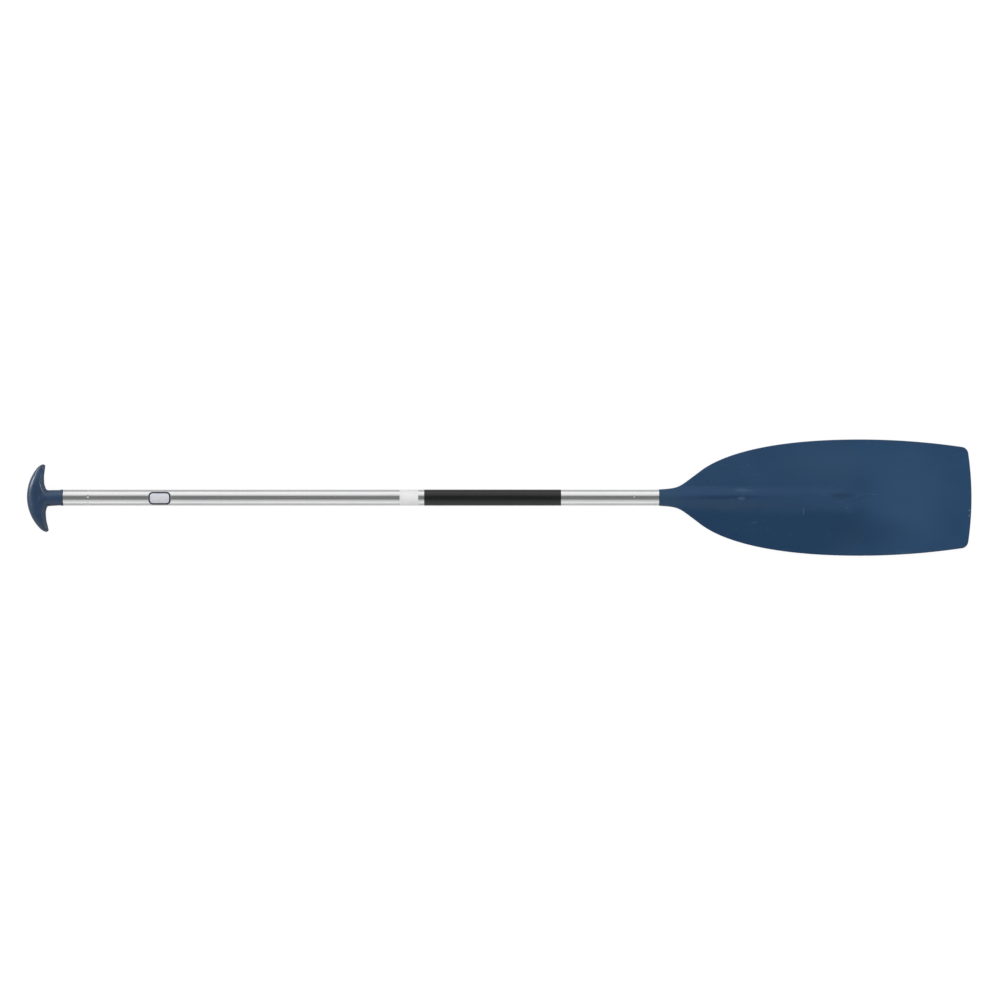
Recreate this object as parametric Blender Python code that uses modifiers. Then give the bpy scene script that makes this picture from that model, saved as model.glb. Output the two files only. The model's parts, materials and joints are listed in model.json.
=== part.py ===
"""Boat paddle: an aluminium tube with a moulded blade at one end and a T-grip at the other.

The paddle lies flat with its blade level. X runs along it, from the palm of the grip to the
tip of the blade, Y runs across the blade and Z is up. The origin is under the middle of the
paddle, on the surface that it lies on. Lengths are in metres and angles in degrees.
"""
import math

import bmesh
import bpy
import numpy as np

# Whole paddle
PADDLE_LENGTH = 1.500
BLADE_LENGTH = 0.496
GRIP_LENGTH = 0.0582

# Clearances
FIT_GAP = 0.0003
FILM_GAP = 0.0001

# Tube, with a ring of punched dimples near each end that locks it on its spigot
TUBE_DIAMETER = 0.025
TUBE_WALL = 0.0015
CRIMP_COUNT = 6
CRIMP_INSET = 0.040
CRIMP_DEPTH = 0.001
CRIMP_PUNCH_RADIUS = 0.0036
CRIMP_TURN = 10.0

# Spigots of the blade and the grip, inside the tube, cored from their inner ends
SPIGOT_LENGTH = 0.060
SPIGOT_LEAD = 0.0008
SPIGOT_ROOT = 0.006
SPIGOT_WALL = 0.0027
GROOVE_MARGIN = 0.0005
CORE_DRAFT = 1.0
BLADE_CORE_LENGTH = 0.100
GRIP_CORE_LENGTH = 0.085

# Foam plugs behind the spigots
PLUG_LENGTH = 0.030

# Sleeve, band and label round the tube, placed from the tube's ends
SLEEVE_LENGTH = 0.217
SLEEVE_TO_BLADE = 0.156
SLEEVE_WALL = 0.0002
BAND_WIDTH = 0.0294
BAND_TO_SLEEVE = 0.0094
BAND_WALL = 0.0001
LABEL_LENGTH = 0.036
LABEL_HEIGHT = 0.021
LABEL_CORNER = 0.0075
LABEL_FROM_GRIP = 0.1535
LABEL_SIDE_SHIFT = -0.001
LABEL_WALL = 0.0001

# Blade outline, from the start of the neck: a neck, a straight shoulder, a long curve to the
# widest place and another to the tip, which is bowed and has round corners
NECK_STEP = 0.0006
NECK_SLOPE = 0.06
NECK_HANDLE = 0.0337
SHOULDER_AT = 0.061
SHOULDER_HALF_WIDTH = 0.0388
SHOULDER_SLOPE = 0.735
SHOULDER_HANDLE_IN = 0.0302
SHOULDER_HANDLE_OUT = 0.009
WIDEST_AT = 0.318
BLADE_WIDTH = 0.1848
WIDEST_HANDLE_IN = 0.199
WIDEST_HANDLE_OUT = 0.033
TIP_HALF_WIDTH = 0.0808
TIP_SLOPE = 0.146
TIP_HANDLE = 0.069
TIP_BOW = 0.0051
TIP_BOW_START = 0.350
TIP_CORNER = 0.0122

# Blade thickness: a flat plate, a slight fall from the middle to the edges near the shoulder,
# and a spine that carries on from the neck and runs out into the plate
PLATE_THICKNESS = 0.004
WING_FALL = 0.002
WING_FALL_END = 0.330
NECK_BLEND = 0.060
SPINE_HALF_WIDTH = 0.0205
NECK_SPINE_SHARE = 0.7
SPINE_TAPER_START = 0.222
SPINE_END = 0.325
SPINE_DIVE_START = 0.265
SPINE_DIVE_HEIGHT = 0.0028

# T-grip, seen from above: a round palm and a finger seat under each horn. The seats rise to
# the collar in a rounded V, and each has a flat flank that leans towards the palm
GRIP_SPAN = 0.1075
GRIP_THICKNESS = 0.0276
HORN_TIP_THICKNESS = 0.0150
HORN_TIP_ROUND = 0.005
HORN_LEVEL_HALF = 0.022
PALM_RADIUS = 0.072
FINGER_SEAT_DEPTH = 0.0287
FINGER_SEAT_OFFSET = 0.028
FINGER_SEAT_RADIUS = 0.070
SEAT_RISE = 0.010
SEAT_RISE_HALF = 0.024
SEAT_RISE_POWER = 1.5
SEAT_V_ROUND = 0.003
CREST_TO_SEAT_ASPECT = 0.83
FLANK_LEAN = 25.0
FLANK_SOFTNESS = 0.12

# Collar of the grip, which widens towards the horns and has a lip at the tube. Collar and
# horns sit slightly turned in the plane of the blade
COLLAR_DRAFT = 1.3
COLLAR_ROOT = 0.022
COLLAR_CANT = 2.0
HORN_CANT = 3.0
HORN_MIDDLE = 0.014
LIP_STEP = 0.0004
LIP_HEIGHT = 0.00065
LIP_WIDTH = 0.0040
LIP_BEVEL = 0.0006

# Facets
TURN_STEPS = 48
QUARTER_STEPS = TURN_STEPS // 4
DIMPLE_STEPS = 20
NECK_STATIONS = 10
SHOULDER_STATIONS = 14
TIP_STATIONS = 8
TIP_CORNER_ANGLES = (0, 15, 30, 45, 60, 75, 90)
EDGE_COLUMNS = 3
WING_COLUMNS = 4
HORN_STATIONS = 20
HORN_STEPS = 24
HORN_TIP_ANGLES = (25, 45, 62, 76)
LABEL_CORNER_STEPS = 8
SHARP_ANGLE = 35.0

# How far a cutter passes the face that it opens, and how near points are to be one point
OVERCUT = 0.010
MERGE_DISTANCE = 0.00001

# Radii that the pieces share
tube_radius = TUBE_DIAMETER / 2
bore_radius = tube_radius - TUBE_WALL
spigot_radius = bore_radius - FIT_GAP
groove_radius = spigot_radius - CRIMP_DEPTH
core_radius = groove_radius - SPIGOT_WALL
neck_radius = tube_radius + NECK_STEP
lip_radius = tube_radius + LIP_STEP
collar_radius = lip_radius - LIP_HEIGHT
AXIS_HEIGHT = max(GRIP_THICKNESS / 2, lip_radius, neck_radius)

# Places along the paddle
palm_x = -PADDLE_LENGTH / 2
blade_x = PADDLE_LENGTH / 2 - BLADE_LENGTH
tube_start = palm_x + GRIP_LENGTH
tube_end = blade_x - FIT_GAP
collar_end = tube_start - FIT_GAP - lip_radius * math.tan(math.radians(COLLAR_CANT))
sleeve_end = blade_x - SLEEVE_TO_BLADE
sleeve_start = sleeve_end - SLEEVE_LENGTH
band_end = sleeve_start - BAND_TO_SLEEVE
band_start = band_end - BAND_WIDTH
label_x = tube_start + LABEL_FROM_GRIP


def clear_scene():
    """Remove every object, so that the script can run again in an open file."""
    for item in list(bpy.data.objects):
        bpy.data.objects.remove(item, do_unlink=True)


def new_collection(name):
    """A collection of the scene."""
    found = bpy.data.collections.get(name) or bpy.data.collections.new(name)
    if name not in bpy.context.scene.collection.children:
        bpy.context.scene.collection.children.link(found)
    return found


def principled(name, colour, roughness, metallic=0.0):
    """A plain Principled material."""
    material = bpy.data.materials.new(name)
    material.use_nodes = True
    shader = material.node_tree.nodes["Principled BSDF"]
    shader.inputs["Base Color"].default_value = (*colour, 1.0)
    shader.inputs["Roughness"].default_value = roughness
    shader.inputs["Metallic"].default_value = metallic
    return material


def place(name, mesh, collection, location=(0, 0, 0), rotation=(0, 0, 0)):
    """An object for a mesh, shaded smooth except at its sharp edges."""
    item = bpy.data.objects.new(name, mesh)
    item.location = location
    item.rotation_euler = rotation
    collection.objects.link(item)
    if mesh.polygons:
        mesh.shade_smooth()
        mesh.set_sharp_from_angle(angle=math.radians(SHARP_ANGLE))
    return item


def as_cutter(item):
    """Mark an object as one that only shapes others."""
    item.hide_render = True
    item.display_type = "WIRE"
    return item


def turned(name, outline, collection, closed=False, rotation_z=0.0, pivot=0.0):
    """A turned solid from the (x, radius) points of its outline.

    The outline runs along the outer side from the blade's end to the grip's, and a Screw
    modifier carries it round the tube's axis. A closed outline gives a ring. rotation_z turns
    the piece in the plane of the blade, about the axis's point at pivot.
    """
    points = [(radius, 0.0, x - pivot) for x, radius in outline]
    edges = [(i, i + 1) for i in range(len(points) - 1)]
    if closed:
        edges.append((len(points) - 1, 0))
    mesh = bpy.data.meshes.new(name)
    mesh.from_pydata(points, edges, [])
    item = place(name, mesh, collection, (pivot, 0, AXIS_HEIGHT))
    item.rotation_euler = (0, math.radians(90), rotation_z)
    screw = item.modifiers.new("turn", "SCREW")
    screw.axis = "Z"
    screw.angle = math.tau
    screw.steps = TURN_STEPS
    screw.render_steps = TURN_STEPS
    screw.use_merge_vertices = True
    screw.merge_threshold = MERGE_DISTANCE
    screw.use_smooth_shade = True
    return item


def combine(item, tool, operation):
    """Join, cut or trim an object with another by an exact Boolean."""
    step = item.modifiers.new(f"{operation.lower()}_{tool.name}", "BOOLEAN")
    step.operation = operation
    step.solver = "EXACT"
    step.object = tool


def ring(name, start, end, inner, wall, collection):
    """A thin turned ring between two places along the tube."""
    outline = [(end, inner), (end, inner + wall), (start, inner + wall), (start, inner)]
    return turned(name, outline, collection, closed=True)


def mirrored(item, axes):
    """Mirror a part that is open at its own planes."""
    mirror = item.modifiers.new("mirror", "MIRROR")
    mirror.use_axis = axes
    mirror.use_clip = True
    mirror.merge_threshold = MERGE_DISTANCE


def smoothstep(value):
    """0 below 0, 1 above 1 and a smooth rise between."""
    value = min(max(value, 0.0), 1.0)
    return value * value * (3 - 2 * value)


def soft_max(first, second, width):
    """The larger of two numbers, rounded up a little where they differ by less than width."""
    overlap = max(width - abs(first - second), 0.0)
    return max(first, second) + overlap ** 2 / (4 * width)


def cubic(start, start_handle, end_handle, end, count):
    """Points of a cubic Bezier curve, without its last point."""
    t = np.arange(count)[:, None] / count
    weights = ((1 - t) ** 3, 3 * t * (1 - t) ** 2, 3 * t * t * (1 - t), t ** 3)
    corners = (start, start_handle, end_handle, end)
    return sum(weight * np.array(corner) for weight, corner in zip(weights, corners))


def crimp_angles():
    """Angles of the dimples about the tube's axis, from +Z towards +Y."""
    return [math.radians(CRIMP_TURN + 360 / CRIMP_COUNT * i) for i in range(CRIMP_COUNT)]


def punch_spheres(name, radius, collection):
    """Both rings of punch positions, as spheres of one radius."""
    centre_radius = tube_radius + CRIMP_PUNCH_RADIUS - CRIMP_DEPTH
    body = bmesh.new()
    for x in (tube_start + CRIMP_INSET, tube_end - CRIMP_INSET):
        for angle in crimp_angles():
            made = bmesh.ops.create_uvsphere(
                body, u_segments=DIMPLE_STEPS, v_segments=DIMPLE_STEPS // 2, radius=radius
            )
            centre = (x, centre_radius * math.sin(angle), centre_radius * math.cos(angle))
            bmesh.ops.translate(body, verts=made["verts"], vec=centre)
    mesh = bpy.data.meshes.new(name)
    body.to_mesh(mesh)
    body.free()
    return as_cutter(place(name, mesh, collection, (0, 0, AXIS_HEIGHT)))


def make_tube(parts, cutters):
    """Tube with a punched dimple outside and a bump of the same wall inside it."""
    outline = [
        (tube_end, 0), (tube_end, tube_radius), (tube_start, tube_radius), (tube_start, 0)
    ]
    tube = turned("shaft_tube", outline, parts)
    bore_outline = [
        (tube_end + OVERCUT, 0), (tube_end + OVERCUT, bore_radius),
        (tube_start - OVERCUT, bore_radius), (tube_start - OVERCUT, 0),
    ]
    bore = as_cutter(turned("tube_bore", bore_outline, cutters))
    bumps = punch_spheres("crimp_bumps", CRIMP_PUNCH_RADIUS + TUBE_WALL, cutters)
    dimples = punch_spheres("crimp_dimples", CRIMP_PUNCH_RADIUS, cutters)
    combine(bore, bumps, "DIFFERENCE")
    combine(tube, bore, "DIFFERENCE")
    combine(tube, dimples, "DIFFERENCE")
    return tube


def spigot_profile():
    """(depth, radius) points of a spigot's outside, from the tube's mouth to its inner end.

    The groove takes the bumps that the crimps raise inside the tube.
    """
    bump_radius = CRIMP_PUNCH_RADIUS + TUBE_WALL
    drop = bump_radius - CRIMP_DEPTH
    groove_half = math.sqrt(bump_radius ** 2 - drop ** 2) + GROOVE_MARGIN
    ramp = spigot_radius - groove_radius
    return [
        (0.0, spigot_radius),
        (CRIMP_INSET - groove_half - ramp, spigot_radius),
        (CRIMP_INSET - groove_half, groove_radius),
        (CRIMP_INSET + groove_half, groove_radius),
        (CRIMP_INSET + groove_half + ramp, spigot_radius),
        (SPIGOT_LENGTH - SPIGOT_LEAD, spigot_radius),
        (SPIGOT_LENGTH, spigot_radius - SPIGOT_LEAD),
    ]


def core_profile(length):
    """(depth, radius) points of the tapered core, from its mouth at the inner end inwards."""
    narrow = core_radius - length * math.tan(math.radians(CORE_DRAFT))
    return [(SPIGOT_LENGTH, core_radius), (SPIGOT_LENGTH - length, narrow)]


def blade_edge():
    """(x, half width, roundness) of the stations, x from the start of the neck.

    Roundness is 1 on the plate and falls to 0 at the tip as the plate's edge rounds off.
    """
    neck = np.array((0.0, neck_radius))
    shoulder = np.array((SHOULDER_AT, SHOULDER_HALF_WIDTH))
    widest = np.array((WIDEST_AT, BLADE_WIDTH / 2))
    corner_x = BLADE_LENGTH - TIP_BOW - TIP_CORNER
    corner = np.array((corner_x, TIP_HALF_WIDTH))
    along_neck = np.array((1.0, NECK_SLOPE))
    along_shoulder = np.array((1.0, SHOULDER_SLOPE))
    along_side = np.array((1.0, 0.0))
    along_tip = np.array((1.0, -TIP_SLOPE))
    edge = np.vstack([
        cubic(
            neck, neck + NECK_HANDLE * along_neck,
            shoulder - SHOULDER_HANDLE_IN * along_shoulder, shoulder, NECK_STATIONS,
        ),
        cubic(
            shoulder, shoulder + SHOULDER_HANDLE_OUT * along_shoulder,
            widest - WIDEST_HANDLE_IN * along_side, widest, SHOULDER_STATIONS,
        ),
        cubic(
            widest, widest + WIDEST_HANDLE_OUT * along_side,
            corner - TIP_HANDLE * along_tip, corner, TIP_STATIONS,
        ),
    ])
    stations = [(x, half, 1.0) for x, half in edge]
    for degrees in TIP_CORNER_ANGLES:
        turn = math.radians(degrees)
        from_tip = TIP_CORNER * (1 - math.sin(turn))
        depth = 1 - min(from_tip / (PLATE_THICKNESS / 2), 1)
        roundness = math.sqrt(1 - depth ** 2) if degrees < 90 else 0.0
        half = TIP_HALF_WIDTH - TIP_CORNER * (1 - math.cos(turn))
        stations.append((corner_x + TIP_CORNER * math.sin(turn), half, roundness))
    return stations


def spine_height(x):
    """Height of the spine's crest above the blade's middle plane."""
    fall = (neck_radius - PLATE_THICKNESS / 2 - SPINE_DIVE_HEIGHT) / SPINE_DIVE_START
    crest = neck_radius - fall * x
    dive = smoothstep((x - SPINE_DIVE_START) / (SPINE_END - SPINE_DIVE_START))
    level = PLATE_THICKNESS / 2
    return max(level, crest + (level - crest) * dive)


def spine_half_width(x):
    """Half width of the spine, which closes in an ellipse at its end."""
    along = (x - SPINE_TAPER_START) / (SPINE_END - SPINE_TAPER_START)
    return SPINE_HALF_WIDTH * math.sqrt(max(1 - max(along, 0.0) ** 2, 0.0))


def wing_surface(x, y, half):
    """Height of the blade's face: the plate, its fall towards the edge and the spine."""
    level = PLATE_THICKNESS / 2
    fall = WING_FALL * max(1 - x / WING_FALL_END, 0.0) * max(1 - y / half, 0.0)
    reach = spine_half_width(x)
    if y >= reach:
        return level + fall
    bell = math.cos(math.pi / 2 * y / reach) ** 2
    return max(level + fall, level + fall * (1 - bell) + (spine_height(x) - level) * bell)


def blade_section(x, half, roundness):
    """A quarter of one cross section, from the middle of the face to the middle of the edge.

    The round neck and the winged blade have sections with as many points, and each point
    passes from the one to the other over the length of the neck's blend.
    """
    blend = smoothstep(x / NECK_BLEND)
    edge_round = PLATE_THICKNESS / 2
    flat_end = half - edge_round
    spine_columns = QUARTER_STEPS - EDGE_COLUMNS - WING_COLUMNS
    spine = min(SPINE_HALF_WIDTH, NECK_SPINE_SHARE * half)
    wing = flat_end - spine
    places = [(spine * i / spine_columns, 1.0) for i in range(spine_columns)]
    places += [(spine + wing * i / WING_COLUMNS, 1.0) for i in range(WING_COLUMNS + 1)]
    for i in range(1, EDGE_COLUMNS + 1):
        turn = math.pi / 2 * i / EDGE_COLUMNS
        places.append((flat_end + edge_round * math.sin(turn), math.cos(turn)))
    bow_end = BLADE_LENGTH - TIP_BOW - TIP_CORNER
    across_tip = smoothstep((x - TIP_BOW_START) / (bow_end - TIP_BOW_START))
    points = []
    for i, (y, share) in enumerate(places):
        turn = math.pi / 2 * i / QUARTER_STEPS
        z = wing_surface(x, min(y, flat_end), half) * share * roundness
        neck_y = half * math.sin(turn)
        neck_z = spine_height(x) * math.cos(turn)
        along = x + TIP_BOW * across_tip * (1 - (y / half) ** 2)
        point_y = neck_y + (y - neck_y) * blend
        point_z = neck_z + (z - neck_z) * blend
        points.append((along, point_y, point_z if i < QUARTER_STEPS else 0.0))
    return points


def round_section(x, radius):
    """A quarter circle, with as many points as a section of the blade."""
    turns = [math.pi / 2 * i / QUARTER_STEPS for i in range(QUARTER_STEPS)]
    points = [(x, radius * math.sin(turn), radius * math.cos(turn)) for turn in turns]
    return points + [(x, radius, 0.0)]


def lofted_quarter(name, sections, start_cap=None, end_cap=None):
    """A mesh through sections of one length, with a fan to each cap point that is given."""
    count = len(sections[0])
    points = [point for section in sections for point in section]
    faces = []
    for row in range(len(sections) - 1):
        for i in range(count - 1):
            corner = row * count + i
            faces.append((corner, corner + count, corner + count + 1, corner + 1))
    if start_cap:
        points.append(start_cap)
        faces += [(len(points) - 1, i, i + 1) for i in range(count - 1)]
    if end_cap:
        points.append(end_cap)
        last = (len(sections) - 1) * count
        faces += [(len(points) - 1, last + i + 1, last + i) for i in range(count - 1)]
    mesh = bpy.data.meshes.new(name)
    mesh.from_pydata(points, [], faces)
    return mesh


def make_blade(parts):
    """Blade, neck, spigot and core as one loft, mirrored to both faces and both sides.

    The sections start at the blind end of the core, leave it at the spigot's inner end, come
    back over the spigot to the neck and go on along the blade to its tip.
    """
    mouth = tube_end - blade_x
    core = [(mouth - depth, radius) for depth, radius in core_profile(BLADE_CORE_LENGTH)]
    spigot = [(mouth - depth, radius) for depth, radius in spigot_profile()]
    step = [(0.0, spigot_radius)]
    sections = [round_section(*ring) for ring in core[::-1] + spigot[::-1] + step]
    sections += [blade_section(*station) for station in blade_edge()]
    blind_end = (core[-1][0], 0.0, 0.0)
    mesh = lofted_quarter("blade", sections, start_cap=blind_end)
    blade = place("blade", mesh, parts, (blade_x, 0, AXIS_HEIGHT))
    mirrored(blade, (False, True, True))
    return blade


def horn_lines(y):
    """Palm, crest and seat of a horn, as depths from the palm's apex, and half its thickness.

    The palm is an arc. The finger seat is level near the collar's side, where a power curve
    lifts it to the collar, and bends away from the palm towards the tip. The crest keeps a
    distance from the seat in proportion to the thickness, which falls to the tip by a cosine.
    """
    palm = PALM_RADIUS - math.sqrt(PALM_RADIUS ** 2 - y ** 2)
    rising = max(1 - math.hypot(y, SEAT_V_ROUND) / SEAT_RISE_HALF, 0.0)
    outward = max(y - FINGER_SEAT_OFFSET, 0.0)
    seat = FINGER_SEAT_DEPTH + SEAT_RISE * rising ** SEAT_RISE_POWER
    seat += outward ** 2 / (2 * FINGER_SEAT_RADIUS)
    along = max(y - HORN_LEVEL_HALF, 0.0) / (GRIP_SPAN / 2 - HORN_LEVEL_HALF)
    fall = (1 - math.cos(math.pi * along)) / 2
    rise = (GRIP_THICKNESS + (HORN_TIP_THICKNESS - GRIP_THICKNESS) * fall) / 2
    return palm, seat - CREST_TO_SEAT_ASPECT * rise, seat, rise


def horn_section(y):
    """Half of a horn's cross section at a distance from the middle, from seat to palm.

    X is measured from the centre of the palm's arc. From the crest a quarter ellipse falls to
    the palm, and another to the seat, where a leaning flank cuts its lower part flat. At the
    tip the section shrinks to its crest in a quarter ellipse.
    """
    palm, crest, seat, rise = horn_lines(y)
    past = max(y - (GRIP_SPAN / 2 - HORN_TIP_ROUND), 0.0) / HORN_TIP_ROUND
    roundness = math.sqrt(1 - past ** 2)
    lean = math.tan(math.radians(FLANK_LEAN)) / CREST_TO_SEAT_ASPECT
    points = []
    for i in range(HORN_STEPS + 1):
        turn = math.pi * i / HORN_STEPS
        across = math.cos(turn)
        up = math.sin(turn) if i < HORN_STEPS else 0.0
        if across > 0:
            reach = (seat - crest) * (1 + FLANK_SOFTNESS / 4)
            shrink = roundness / soft_max(1.0, across + lean * up, FLANK_SOFTNESS)
        else:
            reach = crest - palm
            shrink = roundness
        points.append((crest + reach * across * shrink - PALM_RADIUS, y, rise * up * shrink))
    return points


def make_collar(cutters):
    """Tapered collar and its lip, turned a little in the plane of the blade."""
    start = palm_x + COLLAR_ROOT
    lip_start = collar_end - LIP_WIDTH
    root_radius = collar_radius + (lip_start - start) * math.tan(math.radians(COLLAR_DRAFT))
    outline = [
        (collar_end, 0), (collar_end, lip_radius - LIP_BEVEL), (collar_end - LIP_BEVEL, lip_radius),
        (lip_start + LIP_BEVEL, lip_radius), (lip_start, collar_radius),
        (start, root_radius), (start, 0),
    ]
    cant = math.radians(COLLAR_CANT)
    return as_cutter(turned("grip_collar", outline, cutters, rotation_z=cant, pivot=collar_end))


def make_grip(parts, cutters):
    """T-grip: mirrored horns joined to a collar and a spigot, with a core from its inner end."""
    half_span = GRIP_SPAN / 2
    level = half_span - HORN_TIP_ROUND
    stations = [level * i / HORN_STATIONS for i in range(HORN_STATIONS + 1)]
    stations += [level + HORN_TIP_ROUND * math.sin(math.radians(turn)) for turn in HORN_TIP_ANGLES]
    tip = (horn_lines(half_span)[1] - PALM_RADIUS, half_span, 0.0)
    mesh = lofted_quarter("t_grip", [horn_section(y) for y in stations], end_cap=tip)
    horns_y = (
        (PALM_RADIUS - HORN_MIDDLE) * math.sin(math.radians(HORN_CANT))
        - (GRIP_LENGTH - HORN_MIDDLE) * math.sin(math.radians(COLLAR_CANT))
    )
    turn = (0, 0, math.radians(HORN_CANT))
    grip = place("t_grip", mesh, parts, (palm_x + PALM_RADIUS, horns_y, AXIS_HEIGHT), turn)
    mirrored(grip, (False, True, True))
    spigot_outline = [(tube_start + depth, radius) for depth, radius in spigot_profile()[:0:-1]]
    root_x = collar_end - SPIGOT_ROOT
    spigot_outline = [(tube_start + SPIGOT_LENGTH, 0)] + spigot_outline
    spigot_outline += [(root_x, spigot_radius), (root_x, 0)]
    spigot = as_cutter(turned("grip_spigot", spigot_outline, cutters))
    (mouth, wide), (blind, narrow) = core_profile(GRIP_CORE_LENGTH)
    widening = OVERCUT * math.tan(math.radians(CORE_DRAFT))
    core_outline = [
        (tube_start + mouth + OVERCUT, 0), (tube_start + mouth + OVERCUT, wide + widening),
        (tube_start + blind, narrow), (tube_start + blind, 0),
    ]
    core = as_cutter(turned("grip_core", core_outline, cutters))
    combine(grip, make_collar(cutters), "UNION")
    combine(grip, spigot, "UNION")
    combine(grip, core, "DIFFERENCE")
    return grip


def make_plug(name, spigot_tip, inward, parts):
    """Foam plug that closes the bore behind a spigot."""
    near = spigot_tip + inward * FIT_GAP
    far = near + inward * PLUG_LENGTH
    start, end = min(near, far), max(near, far)
    radius = bore_radius - FIT_GAP
    return turned(name, [(end, 0), (end, radius), (start, radius), (start, 0)], parts)


def label_prism(cutters):
    """Upright prism whose round-cornered outline trims the label out of a ring."""
    half_length = LABEL_LENGTH / 2 - LABEL_CORNER
    half_height = LABEL_HEIGHT / 2 - LABEL_CORNER
    points = []
    for quarter, (side_x, side_y) in enumerate(((1, 1), (-1, 1), (-1, -1), (1, -1))):
        for i in range(LABEL_CORNER_STEPS + 1):
            turn = math.pi / 2 * (quarter + i / LABEL_CORNER_STEPS)
            x = side_x * half_length + LABEL_CORNER * math.cos(turn)
            y = side_y * half_height + LABEL_CORNER * math.sin(turn)
            points.append((x, y, 0.0, 1.0))
    curve = bpy.data.curves.new("label_outline", "CURVE")
    curve.dimensions = "2D"
    curve.fill_mode = "BOTH"
    curve.extrude = tube_radius / 2
    spline = curve.splines.new("POLY")
    spline.points.add(len(points) - 1)
    spline.points.foreach_set("co", [value for point in points for value in point])
    spline.use_cyclic_u = True
    outline = bpy.data.objects.new("label_outline", curve)
    outline.location = (label_x, LABEL_SIDE_SHIFT, AXIS_HEIGHT + tube_radius)
    cutters.objects.link(outline)
    bpy.context.view_layer.update()
    evaluated = outline.evaluated_get(bpy.context.evaluated_depsgraph_get())
    mesh = bpy.data.meshes.new_from_object(evaluated)
    body = bmesh.new()
    body.from_mesh(mesh)
    bmesh.ops.remove_doubles(body, verts=body.verts, dist=MERGE_DISTANCE)
    body.to_mesh(mesh)
    body.free()
    prism = bpy.data.objects.new("label_prism", mesh)
    prism.matrix_world = outline.matrix_world
    cutters.objects.link(prism)
    bpy.data.objects.remove(outline, do_unlink=True)
    return as_cutter(prism)


def make_label(parts, cutters):
    """Blank label on the top of the tube near the grip, trimmed out of a longer ring."""
    start = label_x - LABEL_LENGTH
    end = label_x + LABEL_LENGTH
    label = ring("blank_label", start, end, tube_radius + FILM_GAP, LABEL_WALL, parts)
    combine(label, label_prism(cutters), "INTERSECT")
    return label


def build():
    """Make every part with its material."""
    clear_scene()
    parts = new_collection("boat_paddle")
    cutters = new_collection("cutters")
    film_radius = tube_radius + FILM_GAP
    made = {
        "shaft_tube": make_tube(parts, cutters),
        "blade": make_blade(parts),
        "t_grip": make_grip(parts, cutters),
        "grip_sleeve": ring("grip_sleeve", sleeve_start, sleeve_end, film_radius, SLEEVE_WALL, parts),
        "white_band": ring("white_band", band_start, band_end, film_radius, BAND_WALL, parts),
        "blank_label": make_label(parts, cutters),
        "upper_float_plug": make_plug("upper_float_plug", tube_start + SPIGOT_LENGTH, 1, parts),
        "lower_float_plug": make_plug("lower_float_plug", tube_end - SPIGOT_LENGTH, -1, parts),
    }
    foam = principled("white_foam", (0.80, 0.79, 0.75), 0.9)
    finishes = {
        "shaft_tube": principled("anodised_aluminium", (0.80, 0.81, 0.82), 0.3, 1.0),
        "blade": principled("navy_blade_plastic", (0.020, 0.060, 0.125), 0.42),
        "t_grip": principled("navy_grip_plastic", (0.024, 0.045, 0.095), 0.28),
        "grip_sleeve": principled("black_sleeve", (0.012, 0.012, 0.013), 0.35),
        "white_band": principled("white_film", (0.86, 0.86, 0.86), 0.6),
        "blank_label": principled("pale_label_film", (0.70, 0.72, 0.76), 0.35),
        "upper_float_plug": foam,
        "lower_float_plug": foam,
    }
    for name, item in made.items():
        item.data.materials.append(finishes[name])


build()
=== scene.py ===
"""Boat paddle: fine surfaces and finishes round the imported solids, with light and camera.

Metres, in the part's own frame: X runs from the palm of the grip to the tip of the blade, Y
across the blade and Z up, and the paddle lies on Z = 0. Every piece that is seen is worked out
here as a grid of points over two parameters, and stands for one of the solids.
"""
import json
import math

import bmesh
import bpy
import numpy as np
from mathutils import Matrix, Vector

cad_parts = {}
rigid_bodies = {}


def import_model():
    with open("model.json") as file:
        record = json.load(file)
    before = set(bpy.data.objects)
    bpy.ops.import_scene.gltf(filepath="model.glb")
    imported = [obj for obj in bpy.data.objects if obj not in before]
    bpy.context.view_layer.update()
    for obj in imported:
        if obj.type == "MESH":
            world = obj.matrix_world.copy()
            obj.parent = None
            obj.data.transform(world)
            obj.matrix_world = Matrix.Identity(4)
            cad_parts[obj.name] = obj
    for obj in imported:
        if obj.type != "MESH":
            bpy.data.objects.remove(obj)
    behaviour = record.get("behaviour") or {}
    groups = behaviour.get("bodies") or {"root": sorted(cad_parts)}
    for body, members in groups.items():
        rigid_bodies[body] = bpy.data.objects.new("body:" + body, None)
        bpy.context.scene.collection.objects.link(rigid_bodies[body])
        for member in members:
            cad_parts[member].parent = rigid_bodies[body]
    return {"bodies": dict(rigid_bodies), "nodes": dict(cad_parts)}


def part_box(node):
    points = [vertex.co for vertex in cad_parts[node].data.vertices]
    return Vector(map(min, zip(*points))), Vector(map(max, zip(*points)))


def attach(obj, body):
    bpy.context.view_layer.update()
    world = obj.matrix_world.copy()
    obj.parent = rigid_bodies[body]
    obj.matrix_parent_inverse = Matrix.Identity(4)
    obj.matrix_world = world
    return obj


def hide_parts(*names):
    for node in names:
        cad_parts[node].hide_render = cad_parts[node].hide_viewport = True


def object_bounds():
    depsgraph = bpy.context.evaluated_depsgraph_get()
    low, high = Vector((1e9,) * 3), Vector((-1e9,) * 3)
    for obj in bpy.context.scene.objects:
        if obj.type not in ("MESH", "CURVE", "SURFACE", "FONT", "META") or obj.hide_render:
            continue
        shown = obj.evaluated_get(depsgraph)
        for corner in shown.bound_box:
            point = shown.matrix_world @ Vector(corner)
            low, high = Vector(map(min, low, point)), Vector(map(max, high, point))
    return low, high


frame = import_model()
cad_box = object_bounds()
BODY = next(iter(frame["bodies"]))

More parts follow.
